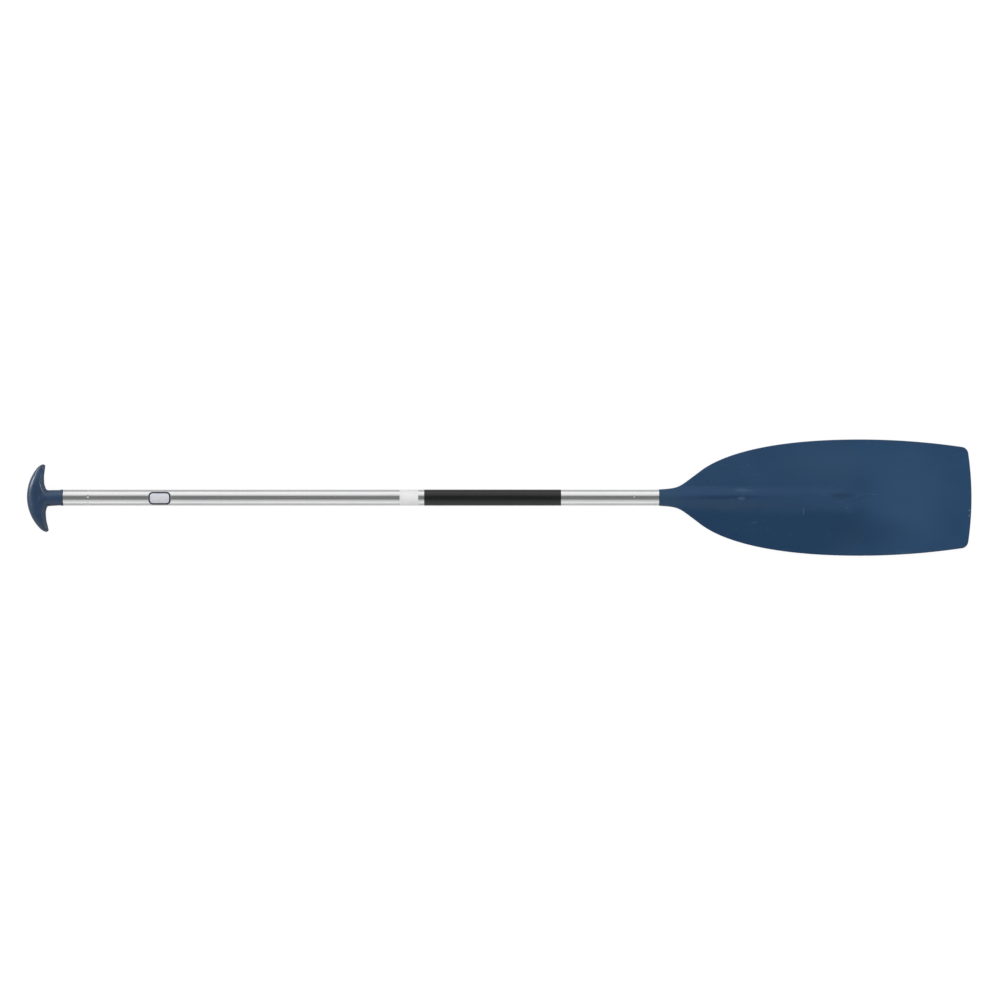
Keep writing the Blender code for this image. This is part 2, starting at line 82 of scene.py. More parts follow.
# Tube. The two crimp depths and reaches are those at the grip and at the blade
TUBE_WALL = 0.0015
TUBE_EDGE_BREAK = 0.00025
CRIMP_COUNT = 6
CRIMP_INSET = 0.040
CRIMP_DEPTHS = (0.0013, 0.0008)
CRIMP_REACHES = (0.0021, 0.0015)
CRIMP_TURN = 8.0
CRIMP_TIP = 0.2
CRIMP_SOFTNESS = 0.2

# Spigots of the blade and the grip in the tube
FIT_GAP = 0.0003
SPIGOT_LENGTH = 0.060
SPIGOT_LEAD = 0.0008
GROOVE_HALF = 0.0042
GROOVE_DEPTH = 0.001
GROOVE_ROUND = 0.0004
CORE_RADIUS = 0.007
CORE_DRAFT = 1.0
CORE_MOUTH_ROUND = 0.0003
CORE_END_ROUND = 0.002
BLADE_CORE_LENGTH = 0.100
GRIP_CORE_LENGTH = 0.085

# Sleeve, whose wall is a little uneven away from its ends, as waves along it
SLEEVE_WALL = 0.0002
SLEEVE_EDGE = 0.0001
SLEEVE_UNEVEN = 0.00003
SLEEVE_EVEN_END = 0.010
SLEEVE_LONG_WAVE = 0.083
SLEEVE_SHORT_WAVE = 0.031

# Films round the tube: the band, and the label with its sides across the tube
FILM_WALL = 0.0001
FILM_EDGE = 0.00005
LABEL_TOP = 0.0095
LABEL_BOTTOM = -0.0115
LABEL_CORNER = 0.0075
LABEL_MARGIN = 0.0003
LABEL_BORDER = 0.0025
PRINT_SOFTNESS = 0.0001

# Blade outline, from the start of the neck
NECK_STEP = 0.0006
NECK_SLOPE = 0.06
NECK_HANDLE = 0.0337
SHOULDER_AT = 0.061
SHOULDER_HALF_WIDTH = 0.0388
SHOULDER_SLOPE = 0.735
SHOULDER_HANDLE_IN = 0.0302
SHOULDER_HANDLE_OUT = 0.009
WIDEST_AT = 0.318
WIDEST_HANDLE_IN = 0.199
WIDEST_HANDLE_OUT = 0.033
TIP_HALF_WIDTH = 0.0808
TIP_SLOPE = 0.146
TIP_HANDLE = 0.069
TIP_BOW = 0.0051
TIP_BOW_START = 0.350
TIP_CORNER = 0.0122

# Blade thickness and spine
PLATE_THICKNESS = 0.004
WING_FALL = 0.002
WING_FALL_END = 0.330
EDGE_SQUARENESS = 0.7
NECK_BLEND = 0.060
SPINE_HALF_WIDTH = 0.0205
NECK_SPINE_SHARE = 0.7
SPINE_TAPER_START = 0.222
SPINE_END = 0.325
SPINE_DIVE_START = 0.265
SPINE_DIVE_HEIGHT = 0.0028

# Marks that moulding leaves on the blade: the line where the mould parts, round the edge, and
# the gate on the spine, a ring round a small dimple
PARTING_RIDGE = 0.00006
GATE_AT = 0.131
GATE_SIDE = -0.0010
GATE_RING = 0.0030
GATE_RING_WIDTH = 0.0009
GATE_RING_HEIGHT = 0.0004
GATE_DIMPLE = 0.0006

# Painted shade on the blade: a darker wedge starts at a line through a point, square to a
# direction, and fades in over two distances from it, in the lower wing alone, which tilts away from
# the light
WEDGE_POINT = (0.334, -0.030)
WEDGE_DIRECTION = (-0.081, 0.059)
WEDGE_FADE = (-0.015, 0.040)
LOWER_WING_START = -0.012
LOWER_WING_FADE = 0.020

# Soft patches, as centre from the start of the neck, half sizes, colour and strength. The first
# is curled with the swirls: painted light, a lighter tone across the outer part
PAINTED_LIGHT_PATCHES = (
    ((0.395, -0.0060), (0.085, 0.1300), "#274A6D", 0.8),
)

# The others are painted light and shade: the upper wing painted lighter and the lower darker,
# the spine's crest painted darker, its lower flank painted greyer, a painted sheen on the neck,
# painted highlights at the gate and beside it, painted shade where the spine ends and a dark
# painted streak on its crest; then a rub and three specks
BLADE_MARKS_AND_PAINTED_LIGHT = (
    ((0.279, 0.0570), (0.125, 0.0420), "#22486B", 0.8),
    ((0.335, -0.0590), (0.095, 0.0450), "#0A3353", 0.5),
    ((0.105, 0.0010), (0.085, 0.0052), "#082F50", 0.65),
    ((0.110, -0.0130), (0.085, 0.0130), "#27405A", 0.5),
    ((0.012, -0.0030), (0.034, 0.0200), "#2B4A60", 0.45),
    ((0.130, -0.0012), (0.009, 0.0040), "#5F8099", 0.25),
    ((0.130, 0.0120), (0.016, 0.0050), "#4A6B85", 0.3),
    ((0.290, 0.0033), (0.026, 0.0060), "#10304C", 0.6),
    ((0.237, 0.0045), (0.020, 0.0020), "#153450", 0.5),
    ((0.229, -0.0220), (0.0012, 0.0080), "#6E8BA3", 0.3),
    ((0.076, 0.0254), (0.0022, 0.0022), "#0E2338", 0.6),
    ((0.492, -0.0200), (0.0014, 0.0014), "#9FB2C2", 0.6),
    ((0.492, -0.0286), (0.0012, 0.0016), "#9FB2C2", 0.6),
)

# Grip
PALM_RADIUS = 0.072
HORN_TIP_THICKNESS = 0.0150
HORN_TIP_ROUND = 0.005
HORN_LEVEL_HALF = 0.022
GRIP_SPAN = 0.1075
GRIP_LENGTH = 0.0582
FINGER_SEAT_DEPTH = 0.0287
FINGER_SEAT_OFFSET = 0.028
FINGER_SEAT_RADIUS = 0.070
SEAT_RISE = 0.010
SEAT_RISE_HALF = 0.024
SEAT_RISE_POWER = 1.5
SEAT_V_ROUND = 0.003
BROW_V_ROUND = 0.010
CREST_TO_SEAT_ASPECT = 0.83
CREST_ROOM = 0.00068
FLANK_LEAN = 25.0
FLANK_SOFTNESS = 0.12
PARTING_ROUND = 0.05
COLLAR_BLEND = 0.003
COLLAR_DRAFT = 1.3
COLLAR_ROOT = 0.022
COLLAR_CANT = 2.0
HORN_CANT = 3.0
HORN_MIDDLE = 0.014
LIP_STEP = 0.0004
LIP_HEIGHT = 0.00065
LIP_WIDTH = 0.0040
LIP_ROUND = 0.0006

# Soft patches on the grip, as centre from the palm, half sizes, colour and strength: the collar
# painted lighter, as painted light, and a greyer tip of the lower horn
GRIP_PAINTED_LIGHT_AND_PATCHES = (
    ((0.0450, 0.0000), (0.0220, 0.0180), "#2C4765", 0.4),
    ((0.0290, -0.0470), (0.0110, 0.0130), "#364350", 0.8),
)

# Share of a soft patch's size that is full
PATCH_CORE = 0.15

# Wear: distances from the blade's edge between which its scuffing fades out, and depths between
# which a dimple's fades in
EDGE_WEAR = (0.0002, 0.0016)
DIMPLE_WEAR = (0.0003, 0.0010)

# Grids: rows along a piece and columns round it, which for blade and grip are a quarter's
TUBE_ROWS = 61
TUBE_COLUMNS = 288
RING_ROWS = 120
RING_COLUMNS = 192
LABEL_ROWS = 36
LABEL_CORNER_COLUMNS = 13
NECK_ROWS = 60
SIDE_ROWS = 100
OUTER_ROWS = 60
ROUND_ROWS = 30
BLADE_COLUMNS = 48
GRIP_ROWS = 190
GRIP_COLUMNS = 56

# Closer rows: how far from the middle they go, in reaches of a dimple or radii of the gate's
# ring, and their count
CRIMP_WINDOW = (1.5, 33)
GATE_WINDOW = (2.0, 45)

# Points that trace a curve of the blade's outline and its round corner, and the grip before
# its rows and columns are spaced out, on curves at angles from the palm: first, last and count
CURVE_POINTS = 1500
CORNER_POINTS = 400
GRIP_TRIAL_ROWS = 1200
GRIP_TRIAL_COLUMNS = 800
HORN_TRIAL_ANGLES = (60, 110, 9)
HALVINGS = 40

# Places that the solids give
tube_low, tube_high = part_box("shaft_tube")
blade_low, blade_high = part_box("blade")
grip_low, grip_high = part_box("t_grip")
TUBE_START = tube_low.x
TUBE_END = tube_high.x
TUBE_RADIUS = (tube_high.z - tube_low.z) / 2
AXIS_HEIGHT = (tube_high.z + tube_low.z) / 2
BLADE_X = TUBE_END + FIT_GAP
BLADE_LENGTH = blade_high.x - BLADE_X
BLADE_WIDTH = blade_high.y - blade_low.y
PALM_X = grip_low.x
GRIP_THICKNESS = grip_high.z - grip_low.z
BORE_RADIUS = TUBE_RADIUS - TUBE_WALL
SPIGOT_RADIUS = BORE_RADIUS - FIT_GAP
NECK_RADIUS = TUBE_RADIUS + NECK_STEP
LIP_RADIUS = TUBE_RADIUS + LIP_STEP
COLLAR_RADIUS = LIP_RADIUS - LIP_HEIGHT
COLLAR_END = TUBE_START - FIT_GAP - LIP_RADIUS * math.tan(math.radians(COLLAR_CANT))

# Photograph: its size, and where the middle of the paddle lies in it
IMAGE_SIZE = 1000
PADDLE_IN_PIXELS = 944.58
MIDDLE_PIXEL = (499.25, 497.6)
CAMERA_DISTANCE = 5.0
SENSOR = 36.0

# Soft boxes that stand upright beside the paddle, off the floor: name, middle along X, side,
# angle from the zenith that they reach up to, width and radiance
WALL_DISTANCE = 1.5
WALL_FOOT = 0.3
SIDE_BOXES = (
    ("upper_side", 1.0, 1, 29.5, 7.0, 0.76),
    ("lower_side", 1.4, -1, 32.5, 5.0, 0.44),
)

# Fill from above
FILL_PLACE = (0.3, 0, 3.2)
FILL_SIZE = (5.0, 4.0)
FILL_RADIANCE = 0.98

# Soft boxes for the grip alone: name, azimuth in degrees and distance from the palm, height,
# width and height of the box, and radiance
GRIP_BOXES = (
    ("palm_strip", 157.5, 0.7, 0.22, (0.46, 0.30), 11.0),
    ("far_box", 25.5, 6.0, 0.95, (2.8, 1.8), 7.0),
)

# Room light, and the bright sides that reflections show, each with the range of a direction's Y
# in which it starts or ends. Directions have a length of 1
HORIZON_LIGHT = 0.55
ZENITH_LIGHT = 0.19
ZENITH_START = 0.8
UPPER_MIRRORED = 0.64
UPPER_MIRRORED_START = (0.42, 0.57)
LOWER_MIRRORED = 0.44
LOWER_MIRRORED_END = (-0.61, -0.46)

# Floor: half its side, its colour, and a glow that lifts it to white for the camera
FLOOR_HALF = 8.0
FLOOR_COLOUR = "#CFCFCF"
FLOOR_GLOW = 1.16
FLOOR_GLOW_SHARE = 0.8
MIRRORED_GLOW_SHARE = 0.05

WELD_DISTANCE = 0.0000005
SHARP_ANGLE = 35.0
TINY = 1e-9


# Shapes

def soft_max(first, second, width):
    """The larger of two arrays, rounded up where they differ by less than width."""
    overlap = np.maximum(width - np.abs(first - second), 0)
    return np.maximum(first, second) + overlap ** 2 / (4 * width)


def smooth_step(value):
    """0 below 0, 1 above 1 and a smooth cubic between."""
    value = np.clip(value, 0, 1)
    return value * value * (3 - 2 * value)


def around(count):
    """Evenly spaced angles round a circle, without the last."""
    return np.arange(count) * math.tau / count


def rounded(corners, steps=4):
    """Points of a polyline whose corners, given as (x, radius, cut), become parabolas.

    A corner with a cut leaves its two edges at that distance from it.
    """
    points = np.array([corner[:2] for corner in corners], float)
    t = np.linspace(0, 1, steps)[:, None]
    made = [points[:1]]
    for i in range(1, len(points) - 1):
        cut = corners[i][2]
        back = points[i - 1] - points[i]
        ahead = points[i + 1] - points[i]
        start = points[i] + back / np.linalg.norm(back) * cut
        end = points[i] + ahead / np.linalg.norm(ahead) * cut
        curve = (1 - t) ** 2 * start + 2 * t * (1 - t) * points[i] + t ** 2 * end
        made.append(curve if cut else points[i:i + 1])
    made.append(points[-1:])
    return np.vstack(made)


def welded(mesh):
    """The mesh with its coincident points joined."""
    body = bmesh.new()
    body.from_mesh(mesh)
    bmesh.ops.remove_doubles(body, verts=body.verts, dist=WELD_DISTANCE)
    body.to_mesh(mesh)
    body.free()
    return mesh


def surface(name, grid, torus=False, **attributes):
    """A closed mesh from a grid of points, (rows, columns, 3), whose columns run round the piece.

    Rows of coincident points close the ends as poles, or the last row joins the first as on a
    torus. Coincident points are welded, and the faces are turned round if the volume comes out
    negative, so they point outwards. Each attribute is an array of (rows, columns) numbers.
    """
    rows, columns = grid.shape[:2]
    index = np.arange(rows * columns).reshape(rows, columns)
    ahead = np.roll(index, -1, axis=0) if torus else index[1:]
    here = index if torus else index[:-1]
    quads = np.stack([here, np.roll(here, -1, 1), np.roll(ahead, -1, 1), ahead], -1).reshape(-1, 4)
    points = grid.reshape(-1, 3)
    a, b, c, d = (points[quads[:, i]] for i in range(4))
    volume = np.einsum("ij,ij->", a, np.cross(b, c) + np.cross(c, d))
    if volume < 0:
        quads = quads[:, ::-1]
    mesh = bpy.data.meshes.new(name)
    mesh.from_pydata(points, [], quads)
    for key, values in attributes.items():
        layer = mesh.attributes.new(key, "FLOAT", "POINT")
        layer.data.foreach_set("value", np.ascontiguousarray(values, np.float32).ravel())
    mesh = welded(mesh)
    mesh.shade_smooth()
    mesh.set_sharp_from_angle(angle=math.radians(SHARP_ANGLE))
    piece = bpy.data.objects.new(name, mesh)
    bpy.context.scene.collection.objects.link(piece)
    return piece


def turned(profile, angles, start=(0, 0, AXIS_HEIGHT), cant=0.0):
    """Grid of a profile of (x, radius) points carried round an axis.

    The axis leaves start along X, turned by cant degrees in the plane of the blade, and an
    angle of 0 points along Y.
    """
    turn = math.radians(cant)
    along = np.array((math.cos(turn), math.sin(turn), 0))
    aside = np.array((-math.sin(turn), math.cos(turn), 0))
    up = np.array((0, 0, 1.0))
    spokes = np.cos(angles)[:, None] * aside + np.sin(angles)[:, None] * up
    profile = np.asarray(profile, float)
    return np.array(start) + profile[:, :1, None] * along + profile[:, 1:, None] * spokes


def spigot_profile(length, inward, mouth, root):
    """Profile of a spigot from its root, over its groove to its inner end and into its core.

    The groove takes the bumps inside the tube. inward is 1 where the spigot points along X,
    and the core tapers to a blind end.
    """
    groove = SPIGOT_RADIUS - GROOVE_DEPTH
    narrow = CORE_RADIUS - length * math.tan(math.radians(CORE_DRAFT))
    depths = [
        (CRIMP_INSET - GROOVE_HALF - GROOVE_DEPTH, SPIGOT_RADIUS, GROOVE_ROUND),
        (CRIMP_INSET - GROOVE_HALF, groove, GROOVE_ROUND),
        (CRIMP_INSET + GROOVE_HALF, groove, GROOVE_ROUND),
        (CRIMP_INSET + GROOVE_HALF + GROOVE_DEPTH, SPIGOT_RADIUS, GROOVE_ROUND),
        (SPIGOT_LENGTH, SPIGOT_RADIUS, SPIGOT_LEAD),
        (SPIGOT_LENGTH, CORE_RADIUS, CORE_MOUTH_ROUND),
        (SPIGOT_LENGTH - length, narrow, CORE_END_ROUND),
        (SPIGOT_LENGTH - length, 0.0, 0.0),
    ]
    corners = [(mouth + inward * depth, radius, cut) for depth, radius, cut in depths]
    return rounded([(root, SPIGOT_RADIUS, 0.0)] + corners)


# Tube, sleeve and films

def crimp_depth(x, angles):
    """How far the punched dimples push the wall in, over a grid of x and angle.

    Each dimple is a cone with a round tip, a hyperbola in section, that a soft maximum blends
    into the tube. Distances from its middle are taken along the tube and round it, as shares
    of the cone's reach. The ring at the grip is punched deeper.
    """
    pitch = math.tau / CRIMP_COUNT
    turn = math.pi / 2 - math.radians(CRIMP_TURN)
    aside = TUBE_RADIUS * ((angles - turn + pitch / 2) % pitch - pitch / 2)
    depth = np.zeros((len(x), len(angles)))
    middles = (TUBE_START + CRIMP_INSET, TUBE_END - CRIMP_INSET)
    for middle, deepest, reach in zip(middles, CRIMP_DEPTHS, CRIMP_REACHES):
        distance = np.hypot(x[:, None] - middle, aside[None, :]) / reach
        cone = 1 - np.hypot(distance, CRIMP_TIP)
        depth += deepest * soft_max(cone, np.zeros_like(cone), CRIMP_SOFTNESS)
    return depth


def make_tube():
    """Tube with dimples outside and the bumps that they raise inside.

    Both walls are cylinders, less the dimples' depth along each point's radius, on rows that
    are closer at the two rings. An attribute holds how deep each point is pushed in, as the
    punch scuffs the dimples.
    """
    columns = around(TUBE_COLUMNS)
    coarse = np.linspace(TUBE_START + TUBE_EDGE_BREAK, TUBE_END - TUBE_EDGE_BREAK, TUBE_ROWS)
    reach, count = CRIMP_WINDOW
    window = np.linspace(-reach, reach, count) * max(CRIMP_REACHES)
    fine = [TUBE_START + CRIMP_INSET + window, TUBE_END - CRIMP_INSET + window]
    x = np.unique(np.concatenate([coarse] + fine))
    depth = crimp_depth(x, columns)
    outside = turned(np.stack([x, np.full_like(x, TUBE_RADIUS)], 1), columns)
    inside = turned(np.stack([x, np.full_like(x, BORE_RADIUS)], 1), columns)
    spokes = turned([(0, 1)], columns, start=(0, 0, 0))
    outside -= depth[..., None] * spokes
    inside -= depth[..., None] * spokes
    flat = TUBE_RADIUS - TUBE_EDGE_BREAK
    bore_flat = BORE_RADIUS + TUBE_EDGE_BREAK
    far_end = turned([(TUBE_END, flat), (TUBE_END, bore_flat)], columns)
    near_end = turned([(TUBE_START, bore_flat), (TUBE_START, flat)], columns)
    grid = np.concatenate([outside, far_end, inside[::-1], near_end])
    rim = np.zeros((2, len(columns)))
    dents = np.concatenate([depth, rim, depth[::-1], rim])
    return surface("drawn_tube", grid, torus=True, dent_depth=dents)


def make_ring(name, node, wall, edge_cut, uneven=0.0):
    """Thin ring round the tube with softened outer edges, in the place of a solid ring.

    It is a profile turned round the tube. An uneven ring is shallower by a product of two
    waves, one along it that also runs round it and one along it alone.
    """
    low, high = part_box(node)
    outer = (high.z - low.z) / 2
    columns = around(RING_COLUMNS)
    profile = rounded([
        (low.x, outer - wall, 0), (low.x, outer, edge_cut), (high.x, outer, edge_cut),
        (high.x, outer - wall, 0),
    ])
    middle = len(profile) // 2
    start, end = profile[:middle], profile[middle:]
    inner_x = np.linspace(low.x, high.x, RING_ROWS)[1:-1]
    inner_x = inner_x[(inner_x > start[-1, 0]) & (inner_x < end[0, 0])]
    crown = np.stack([inner_x, np.full_like(inner_x, outer)], 1)
    grid = turned(np.vstack([start, crown, end]), columns)
    if uneven:
        spokes = turned([(0, 1)], columns, start=(0, 0, 0))
        x = grid[..., 0]
        ends = smooth_step((x - low.x) / SLEEVE_EVEN_END) * smooth_step((high.x - x) / SLEEVE_EVEN_END)
        long_wave = np.sin(x * math.tau / SLEEVE_LONG_WAVE + 2 * np.sin(columns))
        wave = 1 + long_wave * np.cos(x * math.tau / SLEEVE_SHORT_WAVE)
        grid = grid - (uneven * ends * wave / 2)[..., None] * spokes
        grid[0], grid[-1] = turned([profile[0], profile[-1]], columns)
    return surface(name, grid, torus=True)


def make_label():
    """Blank label on the tube: a rounded rectangle from above, laid over the round wall.

    Rows are smaller and smaller copies of its outline. They run over the outside from the
    middle to the edge, and back to the middle on the inside. An attribute holds the distance
    from the outline, as the printed border needs it.
    """
    low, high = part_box("blank_label")
    outer = high.z - AXIS_HEIGHT
    half_length = (high.x - low.x) / 2
    half_height = (LABEL_TOP - LABEL_BOTTOM) / 2
    middle = np.array(((low.x + high.x) / 2, (LABEL_TOP + LABEL_BOTTOM) / 2))
    turn = np.linspace(0, math.pi / 2, LABEL_CORNER_COLUMNS)
    arc = np.stack([np.cos(turn), np.sin(turn)], 1) * LABEL_CORNER
    inset = np.array((half_length, half_height)) - LABEL_CORNER
    quarter = inset + arc
    sides = [quarter, quarter[::-1] * (-1, 1), quarter * (-1, -1), quarter[::-1] * (1, -1)]
    outline = np.vstack([np.vstack([side, side[-1:] * 0.5 + sides[(i + 1) % 4][:1] * 0.5])
                         for i, side in enumerate(sides)])
    shares = np.linspace(0, 1, LABEL_ROWS)
    flat = shares[:, None, None] * outline
    beyond_inset = np.abs(flat) - inset
    edge = np.hypot(*np.moveaxis(np.maximum(beyond_inset, 0), -1, 0))
    edge = LABEL_CORNER - edge - np.minimum(beyond_inset.max(-1), 0)
    flat = flat + middle

    def laid(radius):
        """The flat copies on a cylinder, as high as a circle is at their distance aside."""
        rise = np.sqrt(radius ** 2 - flat[..., 1] ** 2)
        return np.concatenate([flat, (AXIS_HEIGHT + rise)[..., None]], -1)

    grid = np.concatenate([laid(outer), laid(outer - FILM_WALL)[::-1]])
    edge = np.concatenate([edge, edge[::-1]])
    return surface("blank_label_film", grid, edge_distance=edge)


# Blade

def bezier(start, start_handle, end_handle, end):
    """Points of a cubic Bezier curve."""
    t = np.linspace(0, 1, CURVE_POINTS)[:, None]
    return (
        (1 - t) ** 3 * start + 3 * t * (1 - t) ** 2 * start_handle
        + 3 * t * t * (1 - t) * end_handle + t ** 3 * end
    )


def blade_outline():
    """(x, half width) points of the blade's side, from the neck to the tip.

    Three Bezier curves run to the shoulder, the widest place and the start of a round corner.
    """
    neck = np.array((0.0, NECK_RADIUS))
    shoulder = np.array((SHOULDER_AT, SHOULDER_HALF_WIDTH))
    widest = np.array((WIDEST_AT, BLADE_WIDTH / 2))
    corner = np.array((BLADE_LENGTH - TIP_BOW - TIP_CORNER, TIP_HALF_WIDTH))
    along_neck = np.array((1.0, NECK_SLOPE))
    along_shoulder = np.array((1.0, SHOULDER_SLOPE))
    along_side = np.array((1.0, 0.0))
    along_tip = np.array((1.0, -TIP_SLOPE))
    turn = np.linspace(0, math.pi / 2, CORNER_POINTS)[:, None]
    arc = corner + TIP_CORNER * np.hstack([np.sin(turn), np.cos(turn) - 1])
    return np.vstack([
        bezier(neck, neck + NECK_HANDLE * along_neck,
               shoulder - SHOULDER_HANDLE_IN * along_shoulder, shoulder),
        bezier(shoulder, shoulder + SHOULDER_HANDLE_OUT * along_shoulder,
               widest - WIDEST_HANDLE_IN * along_side, widest),
        bezier(widest, widest + WIDEST_HANDLE_OUT * along_side,
               corner - TIP_HANDLE * along_tip, corner),
        arc,
    ])


def spine_height(x):
    """Height of the spine's crest over the middle plane: a straight fall, then a smooth dive."""
    level = PLATE_THICKNESS / 2
    fall = (NECK_RADIUS - level - SPINE_DIVE_HEIGHT) / SPINE_DIVE_START
    crest = NECK_RADIUS - fall * x
    dive = smooth_step((x - SPINE_DIVE_START) / (SPINE_END - SPINE_DIVE_START))
    return np.maximum(level, crest + (level - crest) * dive)


def spine_reach(x):
    """Half width of the spine, which closes in an ellipse at its end."""
    along = np.maximum((x - SPINE_TAPER_START) / (SPINE_END - SPINE_TAPER_START), 0)
    return SPINE_HALF_WIDTH * np.sqrt(np.maximum(1 - along ** 2, 0))


def wing_height(x, y, half):
    """Height of the face: the plate, its fall to the edges, and the spine as a squared cosine."""
    level = PLATE_THICKNESS / 2
    fall = WING_FALL * np.maximum(1 - x / WING_FALL_END, 0) * np.maximum(1 - y / half, 0)
    reach = np.maximum(spine_reach(x), TINY)
    bell = np.where(y < reach, np.cos(math.pi / 2 * np.minimum(y / reach, 1)) ** 2, 0)
    spine = level + fall * (1 - bell) + (spine_height(x) - level) * bell
    return np.maximum(level + fall, spine)


def gate_height(x, y):
    """Height of the gate's mark: a ring with a bell-shaped section, and a dimple in its middle."""
    distance = np.hypot(x - GATE_AT, y - GATE_SIDE)
    ring = np.exp(-((distance - GATE_RING) / GATE_RING_WIDTH) ** 2)
    dimple = np.exp(-(distance / GATE_RING_WIDTH) ** 2)
    return GATE_RING_HEIGHT * ring - GATE_DIMPLE * dimple


def blade_rows():
    """Places of the blade's cross sections, closer at the neck, the gate and the tip."""
    tip = BLADE_LENGTH - TIP_BOW
    corner = tip - TIP_CORNER
    reach, count = GATE_WINDOW
    turn = np.linspace(0, math.pi / 2, ROUND_ROWS)
    return np.unique(np.concatenate([
        np.linspace(0, SHOULDER_AT, NECK_ROWS),
        np.linspace(SHOULDER_AT, WIDEST_AT, SIDE_ROWS),
        GATE_AT + np.linspace(-reach, reach, count) * GATE_RING,
        np.linspace(WIDEST_AT, corner, OUTER_ROWS),
        corner + TIP_CORNER * np.sin(turn),
        tip - PLATE_THICKNESS / 2 * (1 - np.sin(turn)),
    ]))


def blade_quarter(x, columns):
    """Heights and places of the sections from the middle of the face to the middle of the edge.

    The round neck and the winged blade have as many columns, and each point passes from the
    one to the other over the length of the neck's blend. Columns are shared between spine,
    wing and edge as 5, 4 and 3.
    """
    outline = blade_outline()
    half = np.interp(x, outline[:, 0], outline[:, 1])[:, None] - PARTING_RIDGE
    from_tip = BLADE_LENGTH - TIP_BOW - x
    depth = 1 - np.minimum(from_tip / (PLATE_THICKNESS / 2), 1)
    roundness = np.sqrt(np.maximum(1 - depth ** 2, 0))[:, None]
    x = x[:, None]
    edge_round = PLATE_THICKNESS / 2
    flat_end = half - edge_round
    spine = np.minimum(SPINE_HALF_WIDTH, NECK_SPINE_SHARE * half)
    step = columns // 12
    turn = math.pi / 2 * np.arange(1, 3 * step + 1) / (3 * step)
    edge_out = np.sin(turn) ** EDGE_SQUARENESS
    edge_down = np.maximum(np.cos(turn), 0) ** EDGE_SQUARENESS
    y = np.hstack([
        spine * np.arange(5 * step) / (5 * step),
        spine + (flat_end - spine) * np.arange(4 * step + 1) / (4 * step),
        flat_end + edge_round * edge_out,
    ])
    share = np.concatenate([np.ones(9 * step + 1), edge_down])
    z = wing_height(x, np.minimum(y, flat_end), half) * share * roundness
    angle = math.pi / 2 * np.arange(columns + 1) / columns
    blend = smooth_step(x / NECK_BLEND)
    bow_end = BLADE_LENGTH - TIP_BOW - TIP_CORNER
    across = smooth_step((x - TIP_BOW_START) / (bow_end - TIP_BOW_START))
    along = x + TIP_BOW * across * (1 - (y / half) ** 2)
    y = half * np.sin(angle) * (1 - blend) + y * blend
    z = spine_height(x) * np.cos(angle) * (1 - blend) + z * blend
    y[:, -1] += PARTING_RIDGE
    z[:, -1] = 0
    rim = np.maximum(half - y, 0) + np.zeros_like(y)
    return along, y, z, np.minimum(rim, from_tip[:, None] + np.zeros_like(y))


def make_blade():
    """Blade with its neck, spigot and core, from the core's blind end to the blade's tip.

    The blade is four mirrored quarters on cross sections along X, and the spigot a turned
    profile. An attribute holds the distance from the blade's edge, which wear needs.
    """
    columns = BLADE_COLUMNS
    along, y, z, rim = blade_quarter(blade_rows(), columns)
    order = [(1, 1, slice(0, columns)), (1, -1, slice(columns, 0, -1)),
             (-1, -1, slice(0, columns)), (-1, 1, slice(columns, 0, -1))]
    blade = np.concatenate([
        np.stack([BLADE_X + along[:, part], side * y[:, part], AXIS_HEIGHT + face * z[:, part]], -1)
        for side, face, part in order
    ], 1)
    rims = np.concatenate([rim[:, part] for side, face, part in order], 1)
    blade[..., 2] += np.where(
        blade[..., 2] > AXIS_HEIGHT + PLATE_THICKNESS / 2,
        gate_height(blade[..., 0] - BLADE_X, blade[..., 1]), 0
    )
    angles = math.pi / 2 - around(4 * columns)
    profile = spigot_profile(BLADE_CORE_LENGTH, -1, TUBE_END, BLADE_X)
    spigot = turned(profile[::-1], angles)
    grid = np.concatenate([spigot, blade])
    rims = np.concatenate([np.ones(spigot.shape[:2]), rims])
    return surface("moulded_blade", grid, edge_distance=rims)


# Grip

